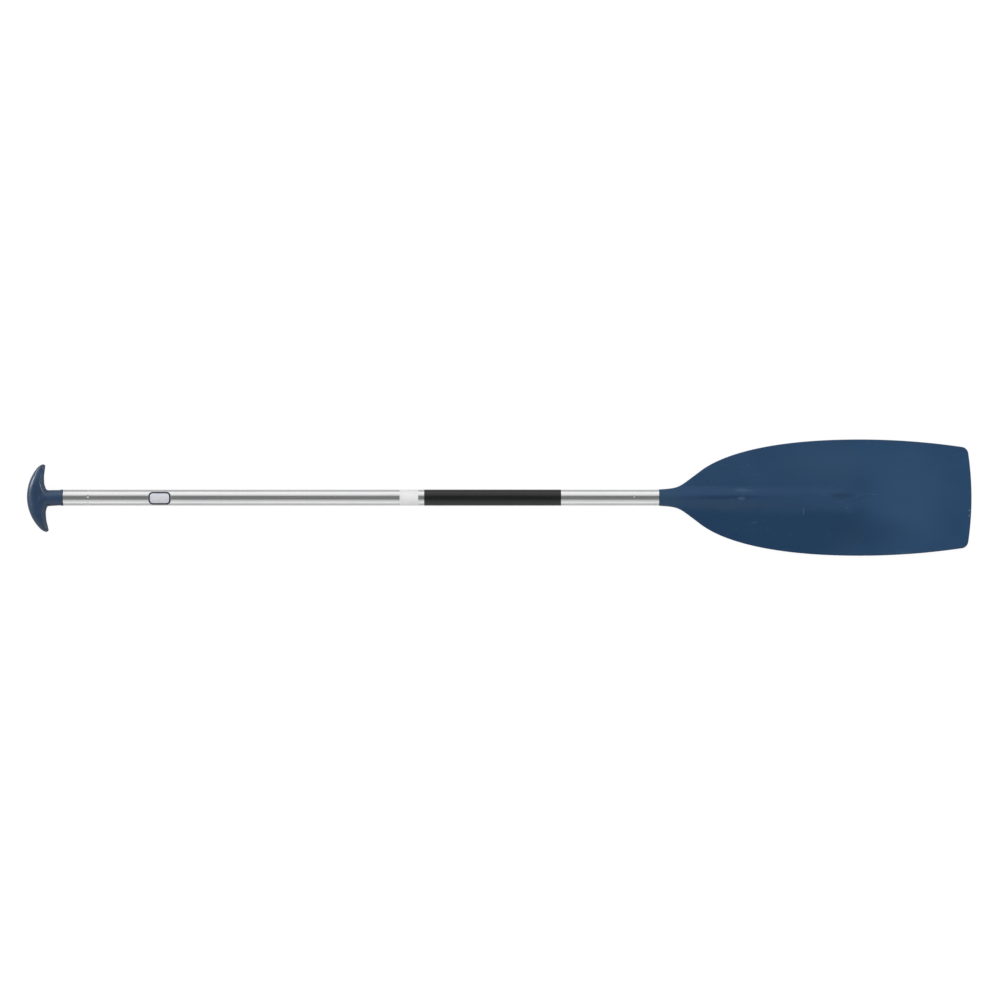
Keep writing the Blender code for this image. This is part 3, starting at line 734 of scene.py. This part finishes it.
def horns_field(points):
    """Below 0 inside the horns and about the distance from them outside.

    Across a horn, a quarter ellipse falls from the brow to the palm and another from the crest
    to the finger seat, cut by the leaning flank. The field is the scale at which the section,
    and the round end, would pass through a point, less 1, times half the thickness. Seat and
    crest run in a V towards the collar and the brow in a blunter one, with a level land between
    crest and brow. The crest leaves room for the fillet that the collar adds to it.
    """
    cant = math.radians(HORN_CANT)
    middle_y = (
        (PALM_RADIUS - HORN_MIDDLE) * math.sin(cant)
        - (GRIP_LENGTH - HORN_MIDDLE) * math.sin(math.radians(COLLAR_CANT))
    )
    x = points[..., 0] - PALM_X - PALM_RADIUS
    y = points[..., 1] - middle_y
    depth = PALM_RADIUS + x * math.cos(cant) + y * math.sin(cant)
    y = np.abs(y * math.cos(cant) - x * math.sin(cant))
    z = np.abs(points[..., 2] - AXIS_HEIGHT)
    half_span = GRIP_SPAN / 2
    past = np.maximum(y - half_span + HORN_TIP_ROUND, 0) / HORN_TIP_ROUND
    y = np.minimum(y, half_span)
    palm = PALM_RADIUS - np.sqrt(PALM_RADIUS ** 2 - y ** 2)
    outward = np.maximum(y - FINGER_SEAT_OFFSET, 0)
    level_seat = FINGER_SEAT_DEPTH + outward ** 2 / (2 * FINGER_SEAT_RADIUS)
    sharp = np.maximum(1 - np.hypot(y, SEAT_V_ROUND) / SEAT_RISE_HALF, 0)
    blunt = np.maximum(1 - np.hypot(y, BROW_V_ROUND) / SEAT_RISE_HALF, 0)
    along = np.maximum(y - HORN_LEVEL_HALF, 0) / (half_span - HORN_LEVEL_HALF)
    fall = (1 - np.cos(math.pi * along)) / 2
    rise = (GRIP_THICKNESS + (HORN_TIP_THICKNESS - GRIP_THICKNESS) * fall) / 2 - CREST_ROOM
    seat = level_seat + SEAT_RISE * sharp ** SEAT_RISE_POWER
    crest = seat - CREST_TO_SEAT_ASPECT * rise
    brow = level_seat + SEAT_RISE * blunt ** SEAT_RISE_POWER - CREST_TO_SEAT_ASPECT * rise
    across = (
        np.maximum(depth - crest, 0) / ((seat - crest) * (1 + FLANK_SOFTNESS / 4))
        + np.minimum(depth - brow, 0) / (brow - palm)
    )
    up = z / rise
    ellipse = np.maximum(np.hypot(across, up), TINY)
    lean = math.tan(math.radians(FLANK_LEAN)) / CREST_TO_SEAT_ASPECT
    flank = across + lean * (np.hypot(up, PARTING_ROUND) - PARTING_ROUND)
    section = np.where(across > 0, soft_max(ellipse, flank, FLANK_SOFTNESS * ellipse), ellipse)
    return (np.hypot(section, past) - 1) * rise


def collar_field(points):
    """Distance from the collar: a cone round its axis, cut off inside the horns."""
    cant = math.radians(COLLAR_CANT)
    x = points[..., 0] - COLLAR_END
    y = points[..., 1]
    along = x * math.cos(cant) + y * math.sin(cant)
    aside = y * math.cos(cant) - x * math.sin(cant)
    radius = COLLAR_RADIUS + np.maximum(-LIP_WIDTH - along, 0) * math.tan(math.radians(COLLAR_DRAFT))
    start = PALM_X + COLLAR_ROOT - COLLAR_END
    return np.maximum(np.hypot(aside, points[..., 2] - AXIS_HEIGHT) - radius, start - along)


def grip_field(points):
    """The horns and the collar as one body, with a fillet where they meet."""
    horns = horns_field(points)
    collar = collar_field(points)
    return -soft_max(-horns, -collar, COLLAR_BLEND)


def cast(field, origin, directions):
    """Where rays from a point inside a body leave it, by halving the range again and again."""
    near = np.zeros(directions.shape[:-1])
    far = np.full_like(near, GRIP_SPAN)
    for _ in range(HALVINGS):
        middle = (near + far) / 2
        inside = field(origin + middle[..., None] * directions) < 0
        near = np.where(inside, middle, near)
        far = np.where(inside, far, middle)
    return origin + near[..., None] * directions


def even_steps(curves, parameter, count):
    """Values of a parameter that divide the mean length of some curves into even steps."""
    lengths = np.linalg.norm(np.diff(curves, axis=0), axis=-1).mean(axis=-1)
    covered = np.concatenate([[0], np.cumsum(lengths)])
    return np.interp(np.linspace(0, covered[-1], count), covered, parameter)


def make_grip():
    """Grip as rays from one point in its middle, then the lip, the spigot and the core.

    A ray has an angle from the palm's end of the collar's axis and an angle round that axis.
    Both are spaced by the length of the curves that they draw, so the horns get their share.
    """
    cant = math.radians(COLLAR_CANT)
    axis = np.array((math.cos(cant), math.sin(cant), 0))
    aside = np.array((-math.sin(cant), math.cos(cant), 0))
    up = np.array((0, 0, 1.0))
    pivot = np.array((COLLAR_END, 0, AXIS_HEIGHT))
    back = COLLAR_END - PALM_X - COLLAR_ROOT
    origin = pivot - back * axis

    def directions(polar, angles):
        """Unit vectors on cones round the axis, (polar, angles, 3)."""
        polar = polar[:, None, None]
        spokes = np.cos(angles)[:, None] * aside + np.sin(angles)[:, None] * up
        return -np.cos(polar) * axis + np.sin(polar) * spokes

    last = math.pi - math.atan2(COLLAR_RADIUS, back - LIP_WIDTH)
    polar = np.linspace(0, last, GRIP_TRIAL_ROWS)
    sides = np.array((0, math.pi))
    polar = even_steps(cast(grip_field, origin, directions(polar, sides)), polar, GRIP_ROWS)
    quarter = np.linspace(0, math.pi / 2, GRIP_TRIAL_COLUMNS)
    spans = np.radians(np.linspace(*HORN_TRIAL_ANGLES))
    curves = np.moveaxis(cast(grip_field, origin, directions(spans, quarter)), 0, 1)
    quarter = even_steps(curves, quarter, GRIP_COLUMNS + 1)[:-1]
    half = np.concatenate([quarter, math.pi - np.append(quarter, math.pi / 2)[:0:-1]])
    angles = np.concatenate([half, math.pi + half])
    body = cast(grip_field, origin, directions(polar, angles))
    lip = rounded([
        (-LIP_WIDTH, COLLAR_RADIUS, 0), (-LIP_WIDTH + LIP_ROUND / 2, LIP_RADIUS, LIP_ROUND / 2),
        (0, LIP_RADIUS, LIP_ROUND), (0, SPIGOT_RADIUS + FIT_GAP, 0),
    ], steps=7)[1:]
    lip = turned(lip, angles, start=pivot, cant=COLLAR_CANT)
    root = TUBE_START - FIT_GAP / 2
    profile = spigot_profile(GRIP_CORE_LENGTH, 1, TUBE_START, root)
    grid = np.concatenate([body, lip, turned(profile, angles)])
    return surface("moulded_grip", grid)


# Materials. Two settings recur: a range taken smoothly to another, and a mix of colours

SMOOTH = {"interpolation_type": "SMOOTHSTEP"}
COLOUR = {"data_type": "RGBA"}


def linear(code):
    """Linear colour of an sRGB hex code, with alpha."""
    parts = [int(code[i:i + 2], 16) / 255 for i in (1, 3, 5)]
    return tuple(v / 12.92 if v <= 0.04045 else ((v + 0.055) / 1.055) ** 2.4 for v in parts) + (1.0,)


def node(tree, kind, inputs=(), output=None, **settings):
    """Add a node, set its settings, give its inputs values or links, and return an output.

    The inputs are a dict by name, or values in the order in which the node shows its sockets.
    Without a name, the output is the first that the node shows.
    """
    made = tree.nodes.new("ShaderNode" + kind)
    for key, value in settings.items():
        setattr(made, key, value)
    if isinstance(inputs, dict):
        filled = [(made.inputs[key], value) for key, value in inputs.items()]
    else:
        filled = zip([socket for socket in made.inputs if socket.enabled], inputs)
    for socket, value in filled:
        if isinstance(value, bpy.types.NodeSocket):
            tree.links.new(value, socket)
        else:
            socket.default_value = value
    if output:
        return made.outputs[output]
    return next((socket for socket in made.outputs if socket.enabled), None)


def new_material(name):
    """A material and its node tree, still empty."""
    material = bpy.data.materials.new(name)
    material.use_nodes = True
    material.node_tree.nodes.clear()
    return material, material.node_tree


def new_finish(name):
    """A material for a piece, its node tree and the place on the piece, for its patterns."""
    material, tree = new_material(name)
    return material, tree, node(tree, "TexCoord", output="Object")


def lumps(tree, place, sizes, detail=2.0):
    """Noise whose lumps have the given sizes along X, Y and Z, in millimetres."""
    scale = tuple(1000 / size for size in sizes)
    scaled = node(tree, "Mapping", {"Vector": place, "Scale": scale})
    return node(tree, "TexNoise", {"Vector": scaled, "Scale": 1.0, "Detail": detail})


def spots(tree, place, sizes, start, end):
    """Mask of the lumps of a noise: 0 below one of its values and 1 above another."""
    return node(tree, "MapRange", (lumps(tree, place, sizes), start, end), **SMOOTH)


def hairlines(tree, place, sizes):
    """Fine scratches: where a stretched noise passes its middle value, inside sparse patches."""
    lines = lumps(tree, place, sizes, detail=1.0)
    offset = node(tree, "Math", (lines, 0.5), operation="SUBTRACT")
    near = node(tree, "Math", (offset,), operation="ABSOLUTE")
    line = node(tree, "MapRange", (near, 0.0, 0.012, 1.0, 0.0), **SMOOTH)
    patches = spots(tree, place, (45, 30, 30), 0.55, 0.68)
    return node(tree, "Math", (line, patches), operation="MULTIPLY")


def patch(tree, place, centre, half_sizes):
    """Mask of an ellipse over X and Y, full in its core and fading out to its edge."""
    offset = node(tree, "VectorMath", (place, (*centre, 0)), operation="SUBTRACT")
    scale = (1 / half_sizes[0], 1 / half_sizes[1], 0)
    scaled = node(tree, "VectorMath", (offset, scale), operation="MULTIPLY")
    size = node(tree, "VectorMath", (scaled,), operation="LENGTH")
    return node(tree, "MapRange", (size, PATCH_CORE, 1.0, 1.0, 0.0), **SMOOTH)


def beyond(tree, place, point, direction, start, end):
    """Mask that rises between two distances from a point, taken along a direction over X and Y."""
    offset = node(tree, "VectorMath", (place, (*point, 0)), operation="SUBTRACT")
    length = math.hypot(*direction)
    unit = (direction[0] / length, direction[1] / length, 0)
    distance = node(tree, "VectorMath", (offset, unit), operation="DOT_PRODUCT")
    return node(tree, "MapRange", (distance, start, end), **SMOOTH)


def laid_over(tree, colour, code, mask, strength):
    """A colour with another laid over it, as far as a mask and a strength let it show."""
    share = node(tree, "Math", (mask, strength), operation="MULTIPLY")
    return node(tree, "Mix", (share, colour, linear(code)), **COLOUR)


def tones(tree, pattern, start, end, first, second):
    """Two colours that pass into each other between two values of a pattern."""
    share = node(tree, "MapRange", (pattern, start, end), **SMOOTH)
    return node(tree, "Mix", (share, linear(first), linear(second)), **COLOUR)


def marked(tree, place, start, colour, marks):
    """A colour with soft patches laid over it, whose centres are counted from a place along X."""
    for centre, half_sizes, code, strength in marks:
        mask = patch(tree, place, (start + centre[0], centre[1]), half_sizes)
        colour = laid_over(tree, colour, code, mask, strength)
    return colour


def shaded(material, inputs):
    """The material, with a Principled shader of the given inputs as its surface."""
    tree = material.node_tree
    shader = node(tree, "BsdfPrincipled", inputs)
    node(tree, "OutputMaterial", {"Surface": shader}, is_active_output=True)
    return material


def moulded_blade_plastic():
    """Injection-moulded polypropylene, satin navy.

    The mould's fine grain gives a soft, wide gloss. The lower wing is painted darker, as shade,
    most of all in a wedge, and the upper wing and the outer part are painted lighter, as light;
    the spine, neck and gate carry painted light and shade too. The edge is scuffed pale where it
    meets the ground, and the faces carry a few marks.
    """
    material, tree, place = new_finish("moulded_polypropylene_navy")
    # Slow swirls, 14 to a metre, which shift the painted light and shade by up to 15 mm
    swirl = node(tree, "TexNoise", {"Vector": place, "Scale": 14.0}, "Color")
    swirl = node(tree, "VectorMath", (swirl, (0.5, 0.5, 0.5)), operation="SUBTRACT")
    swirl = node(tree, "VectorMath", (swirl, 0.030), operation="SCALE")
    curled = node(tree, "VectorMath", (place, swirl))
    # Clouds of pigment, at their real size
    clouds = lumps(tree, place, (60, 45, 45), detail=3.0)
    colour = tones(tree, clouds, 0.3, 0.7, "#184064", "#1D4367")
    # Painted shade: the lower wing darker, most of all in the wedge
    wedge_start = (BLADE_X + WEDGE_POINT[0], WEDGE_POINT[1])
    wedge = beyond(tree, curled, wedge_start, WEDGE_DIRECTION, *WEDGE_FADE)
    low = beyond(tree, curled, (0, LOWER_WING_START), (0, -1), 0.0, LOWER_WING_FADE)
    colour = laid_over(tree, colour, "#06375B", wedge, low)
    # Painted light: the outer part lighter
    colour = marked(tree, curled, BLADE_X, colour, PAINTED_LIGHT_PATCHES)
    # Pale specks of pigment and dust, 0.3 mm in truth, drawn coarser so that they show
    specks = spots(tree, place, (1.1, 1.1, 1.1), 0.55, 0.8)
    colour = laid_over(tree, colour, "#3E617F", specks, 0.2)
    # Scratches, about 50 mm long and 0.2 mm wide
    colour = laid_over(tree, colour, "#6A89A3", hairlines(tree, place, (50, 3.5, 50)), 0.3)
    # Painted light and shade on the wings, the spine, the neck and the gate, and a rub and three
    # specks
    colour = marked(tree, place, BLADE_X, colour, BLADE_MARKS_AND_PAINTED_LIGHT)
    # Nicks along the edge, 3 to 5 mm long, their real size
    rim = node(tree, "Attribute", output="Fac", attribute_name="edge_distance")
    scuffed = node(tree, "MapRange", (rim, *EDGE_WEAR, 1.0, 0.0), **SMOOTH)
    nicks = spots(tree, place, (5, 3, 3), 0.62, 0.72)
    colour = laid_over(tree, colour, "#7C93A8", scuffed, nicks)
    roughness = node(tree, "MapRange", (clouds, 0.3, 0.7, 0.48, 0.54), **SMOOTH)
    # The mould's grain, 0.1 mm in truth, drawn coarser so that it shows
    grain = lumps(tree, place, (0.8, 0.8, 0.8), detail=1.0)
    bump = node(tree, "Bump", {"Height": grain, "Distance": 0.00002})
    return shaded(material, {
        "Base Color": colour, "Roughness": roughness, "Normal": bump, "IOR": 1.49,
        "Specular IOR Level": 0.36,
    })


def moulded_grip_plastic():
    """Injection-moulded polypropylene, navy, from a polished mould.

    Glossier and greyer than the blade, with a faint orange peel and fine scratches. The collar
    is painted lighter, as painted light, and the tip of the lower horn is greyer.
    """
    material, tree, place = new_finish("polished_polypropylene_navy")
    # Clouds of pigment, at their real size
    clouds = lumps(tree, place, (30, 30, 30), detail=3.0)
    colour = tones(tree, clouds, 0.3, 0.7, "#223751", "#273D56")
    # Pale specks of pigment and dust, 0.3 mm in truth, drawn coarser so that they show
    specks = spots(tree, place, (0.9, 0.9, 0.9), 0.55, 0.8)
    colour = laid_over(tree, colour, "#40546F", specks, 0.2)
    # Painted light on the collar, and a greyer tip of the lower horn
    colour = marked(tree, place, PALM_X, colour, GRIP_PAINTED_LIGHT_AND_PATCHES)
    # Scratches, about 30 mm long and 0.1 mm wide
    scratches = node(tree, "MapRange", (hairlines(tree, place, (30, 2, 20)), 0.0, 1.0), **SMOOTH)
    colour = laid_over(tree, colour, "#64748E", scratches, 0.3)
    roughness = node(tree, "MapRange", (clouds, 0.3, 0.7, 0.24, 0.30), **SMOOTH)
    # Orange peel, which is 3 to 4 mm across on a polished moulding
    peel = lumps(tree, place, (3.5, 3.5, 3.5), detail=1.0)
    bump = node(tree, "Bump", {"Height": peel, "Distance": 0.000012})
    return shaded(material, {
        "Base Color": colour, "Roughness": roughness, "Normal": bump, "IOR": 1.49,
    })


def drawn_aluminium():
    """Drawn aluminium tube, clear anodised.

    Drawing leaves fine lines along the tube, so that reflections are soft across it and
    streaked along it. The oxide layer makes the metal a little darker and greyer. The punch
    has scuffed the dimples, which look matt and pale.
    """
    material, tree, place = new_finish("clear_anodised_aluminium")
    # Drawing lines, 0.05 mm wide in truth, drawn coarser so that they show
    lines = lumps(tree, place, (350, 0.6, 0.6))
    # Clouds in the oxide, at their real size
    clouds = lumps(tree, place, (60, 12, 12), detail=3.0)
    colour = tones(tree, clouds, 0.3, 0.7, "#EDEEEF", "#F2F2F2")
    streaks = node(tree, "MapRange", (lines, 0.5, 0.8), **SMOOTH)
    colour = laid_over(tree, colour, "#D5D7D9", streaks, 0.25)
    dent = node(tree, "Attribute", output="Fac", attribute_name="dent_depth")
    scuffed = node(tree, "MapRange", (dent, *DIMPLE_WEAR), **SMOOTH)
    drawn = node(tree, "MapRange", (lines, 0.3, 0.7, 0.20, 0.30), **SMOOTH)
    roughness = node(tree, "Mix", (scuffed, drawn, 0.65))
    bump = node(tree, "Bump", {"Height": lines, "Distance": 0.000004})
    return shaded(material, {
        "Base Color": colour, "Roughness": roughness, "Normal": bump, "Metallic": 1.0,
    })


def shrunk_sleeve():
    """Polyolefin sleeve, extruded and shrunk on the tube, black.

    Smooth and semi-gloss, with faint lines along it from the extrusion and a little dust.
    """
    material, tree, place = new_finish("shrunk_polyolefin_black")
    # Extrusion lines, 0.4 mm wide in truth, drawn coarser so that they show
    lines = lumps(tree, place, (120, 1.2, 1.2))
    colour = tones(tree, lines, 0.4, 0.75, "#131415", "#191A1B")
    # Dust, 0.3 mm in truth, drawn coarser so that it shows
    dust = spots(tree, place, (1.5, 0.8, 0.8), 0.62, 0.8)
    colour = laid_over(tree, colour, "#4A4A4A", dust, 0.3)
    roughness = node(tree, "MapRange", (lines, 0.3, 0.7, 0.20, 0.29), **SMOOTH)
    bump = node(tree, "Bump", {"Height": lines, "Distance": 0.00001})
    return shaded(material, {
        "Base Color": colour, "Roughness": roughness, "Normal": bump, "IOR": 1.5,
    })


def frosted_film():
    """Self-adhesive vinyl film, frosted white: flat, with the faint grain of its matt face."""
    material, tree, place = new_finish("frosted_vinyl_white")
    # Clouds where the film is handled, at their real size
    clouds = lumps(tree, place, (20, 10, 10), detail=3.0)
    colour = tones(tree, clouds, 0.3, 0.7, "#F0F0F1", "#F6F6F6")
    # Grain of the matt face, 0.05 mm in truth, drawn coarser so that it shows
    grain = lumps(tree, place, (0.7, 0.7, 0.7), detail=1.0)
    roughness = node(tree, "MapRange", (grain, 0.3, 0.7, 0.5, 0.62), **SMOOTH)
    bump = node(tree, "Bump", {"Height": grain, "Distance": 0.00001})
    return shaded(material, {
        "Base Color": colour, "Roughness": roughness, "Normal": bump, "IOR": 1.5,
    })


def label_film():
    """Polyester label film, printed from behind: a pale field in a plain dark border, glossy."""
    material, tree, place = new_finish("printed_polyester_film")
    # Clouds in the print, at their real size
    clouds = lumps(tree, place, (8, 8, 8), detail=3.0)
    field = tones(tree, clouds, 0.3, 0.7, "#D9DCE3", "#E2E4EA")
    edge = node(tree, "Attribute", output="Fac", attribute_name="edge_distance")
    start = LABEL_MARGIN
    end = LABEL_MARGIN + LABEL_BORDER
    soft = PRINT_SOFTNESS
    outer = node(tree, "MapRange", (edge, start - soft, start + soft), **SMOOTH)
    inner = node(tree, "MapRange", (edge, end - soft, end + soft, 1.0, 0.0), **SMOOTH)
    colour = laid_over(tree, field, "#1C2340", outer, inner)
    roughness = node(tree, "MapRange", (clouds, 0.3, 0.7, 0.25, 0.33), **SMOOTH)
    return shaded(material, {"Base Color": colour, "Roughness": roughness, "IOR": 1.5})


def cell_foam():
    """Closed-cell polyethylene foam, cut: white, matt, with the open cells of the cut face."""
    material, tree, place = new_finish("closed_cell_foam_white")
    # Cells 1.2 mm across, at their real size
    cells = node(tree, "TexVoronoi", {"Vector": place, "Scale": 1 / 0.0012})
    colour = node(tree, "Mix", (cells, linear("#DAD8D0"), linear("#F1F0EA")), **COLOUR)
    bump = node(tree, "Bump", {"Height": cells, "Distance": 0.0003})
    return shaded(material, {"Base Color": colour, "Roughness": 0.9, "Normal": bump, "IOR": 1.5})


def dress(piece, material, slot, *nodes):
    """Give a piece its material and its body, and hide the solids that it stands for. The slot is not
    used.
    """
    piece.data.materials.clear()
    piece.data.materials.append(material)
    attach(piece, BODY)
    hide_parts(*nodes)


# Stage

def seen_directly(tree, path):
    """1 for rays from the camera, also through a clear piece, and 0 for all others."""
    rays = (path["Is Camera Ray"], path["Is Transmission Ray"])
    return node(tree, "Math", rays, operation="MAXIMUM")


def make_floor():
    """Pale floor, which the camera sees nearly white, with the soft shadow of the paddle."""
    half = FLOOR_HALF
    corners = [(-half, -half, 0), (half, -half, 0), (half, half, 0), (-half, half, 0)]
    mesh = bpy.data.meshes.new("floor")
    mesh.from_pydata(corners, [], [(0, 1, 2, 3)])
    floor = bpy.data.objects.new("floor", mesh)
    bpy.context.scene.collection.objects.link(floor)
    material, tree = new_material("floor_white")
    path = node(tree, "LightPath").node.outputs
    direct = node(tree, "Math", (seen_directly(tree, path), FLOOR_GLOW_SHARE), operation="MULTIPLY")
    mirrored = node(tree, "Math", (path["Is Glossy Ray"], MIRRORED_GLOW_SHARE), operation="MULTIPLY")
    share = node(tree, "Math", (direct, mirrored), operation="MAXIMUM")
    paint = node(tree, "BsdfDiffuse", {"Color": linear(FLOOR_COLOUR)})
    glow = node(tree, "Emission", {"Color": linear("#FFFFFF"), "Strength": FLOOR_GLOW})
    mixed = node(tree, "MixShader", (share, paint, glow))
    node(tree, "OutputMaterial", {"Surface": mixed})
    mesh.materials.append(material)


def make_world():
    """Dim room light, brighter towards the horizon. The camera sees it as white.

    Reflections show it white as well on both sides of the paddle, above the horizon, and dim
    overhead, which draws the dark band along the tube.
    """
    world = bpy.data.worlds.new("studio")
    bpy.context.scene.world = world
    world.use_nodes = True
    tree = world.node_tree
    tree.nodes.clear()
    path = node(tree, "LightPath").node.outputs
    direction = node(tree, "TexCoord", output="Generated")
    parts = node(tree, "SeparateXYZ", (direction,)).node.outputs
    room, upper, lower = (node(tree, "MapRange", inputs, **SMOOTH) for inputs in (
        (parts["Z"], 0.0, ZENITH_START, HORIZON_LIGHT, ZENITH_LIGHT),
        (parts["Y"], *UPPER_MIRRORED_START, 0.0, UPPER_MIRRORED),
        (parts["Y"], *LOWER_MIRRORED_END, LOWER_MIRRORED, 0.0),
    ))
    sides = node(tree, "Math", (upper, lower), operation="ADD")
    mirrored = node(tree, "Math", (sides, path["Is Glossy Ray"]), operation="MULTIPLY")
    light = node(tree, "Math", (room, mirrored), operation="ADD")
    strength = node(tree, "Mix", (seen_directly(tree, path), light, 1.0))
    background = node(tree, "Background", {"Color": linear("#FFFFFF"), "Strength": strength})
    node(tree, "OutputWorld", {"Surface": background})


def soft_box(name, place, target, size, radiance):
    """Rectangular soft box of an even radiance that faces a point and returns its lamp."""
    width, height = size
    light = bpy.data.lights.new(name, "AREA")
    light.shape = "RECTANGLE"
    light.size = width
    light.size_y = height
    light.energy = radiance * math.pi * width * height
    lamp = bpy.data.objects.new(name, light)
    away = np.array(place, float) - np.array(target, float)
    flat = math.hypot(away[0], away[1])
    lamp.rotation_euler = (math.atan2(flat, away[2]), 0, math.atan2(away[1], away[0]) + math.pi / 2)
    lamp.location = place
    lamp.visible_camera = False
    bpy.context.scene.collection.objects.link(lamp)
    return lamp


def make_lights(grip):
    """Two long soft boxes beside the paddle, a fill from above, and two for the grip alone.

    The first three leave no reflection, because the world shows one in their place, and the
    feet of the side boxes stay off the floor, so that their light fades out along it. The
    strip off the palm draws the highlight along one side of it, and the low box far off
    beyond the blade draws the one where the upper horn's flank begins.
    """
    for name, middle_x, side, zenith, width, radiance in SIDE_BOXES:
        top = WALL_DISTANCE / math.tan(math.radians(zenith))
        level = (WALL_FOOT + top) / 2
        place = (middle_x, side * WALL_DISTANCE, level)
        box = soft_box(name, place, (middle_x, 0, level), (width, top - WALL_FOOT), radiance)
        box.visible_glossy = False
    fill = soft_box("fill", FILL_PLACE, (FILL_PLACE[0], 0, 0), FILL_SIZE, FILL_RADIANCE)
    fill.visible_glossy = False
    grip_alone = bpy.data.collections.new("grip_alone")
    grip_alone.objects.link(grip)
    for name, azimuth, distance, level, size, radiance in GRIP_BOXES:
        turn = math.radians(azimuth)
        place = (PALM_X + distance * math.cos(turn), distance * math.sin(turn), level)
        box = soft_box(name, place, (PALM_X, 0, level), size, radiance)
        box.light_linking.receiver_collection = grip_alone


def make_camera():
    """Camera straight above the blade, with the paddle where the photograph has it."""
    pixel = (cad_box[1][0] - cad_box[0][0]) / PADDLE_IN_PIXELS
    data = bpy.data.cameras.new("camera")
    data.sensor_width = SENSOR
    data.lens = SENSOR * CAMERA_DISTANCE / (IMAGE_SIZE * pixel)
    camera = bpy.data.objects.new("camera", data)
    camera.location = (
        (IMAGE_SIZE / 2 - MIDDLE_PIXEL[0]) * pixel,
        (MIDDLE_PIXEL[1] - IMAGE_SIZE / 2) * pixel,
        AXIS_HEIGHT + CAMERA_DISTANCE,
    )
    bpy.context.scene.collection.objects.link(camera)
    bpy.context.scene.camera = camera
    bpy.context.scene.view_settings.view_transform = "Standard"


dress(make_tube(), drawn_aluminium(), "anodised_aluminium", "shaft_tube")
dress(make_blade(), moulded_blade_plastic(), "blade_plastic", "blade")
grip = make_grip()
dress(grip, moulded_grip_plastic(), "grip_plastic", "t_grip")
sleeve = make_ring("shrunk_sleeve", "grip_sleeve", SLEEVE_WALL, SLEEVE_EDGE, SLEEVE_UNEVEN)
dress(sleeve, shrunk_sleeve(), "black_sleeve", "grip_sleeve")
band = make_ring("film_band", "white_band", FILM_WALL, FILM_EDGE)
dress(band, frosted_film(), "white_film", "white_band")
dress(make_label(), label_film(), "label_film", "blank_label")
foam = cell_foam()
for name in ("upper_float_plug", "lower_float_plug"):
    plug = frame["nodes"][name]
    plug.data.materials.clear()
    plug.data.materials.append(foam)

make_floor()
make_world()
make_lights(grip)
make_camera()
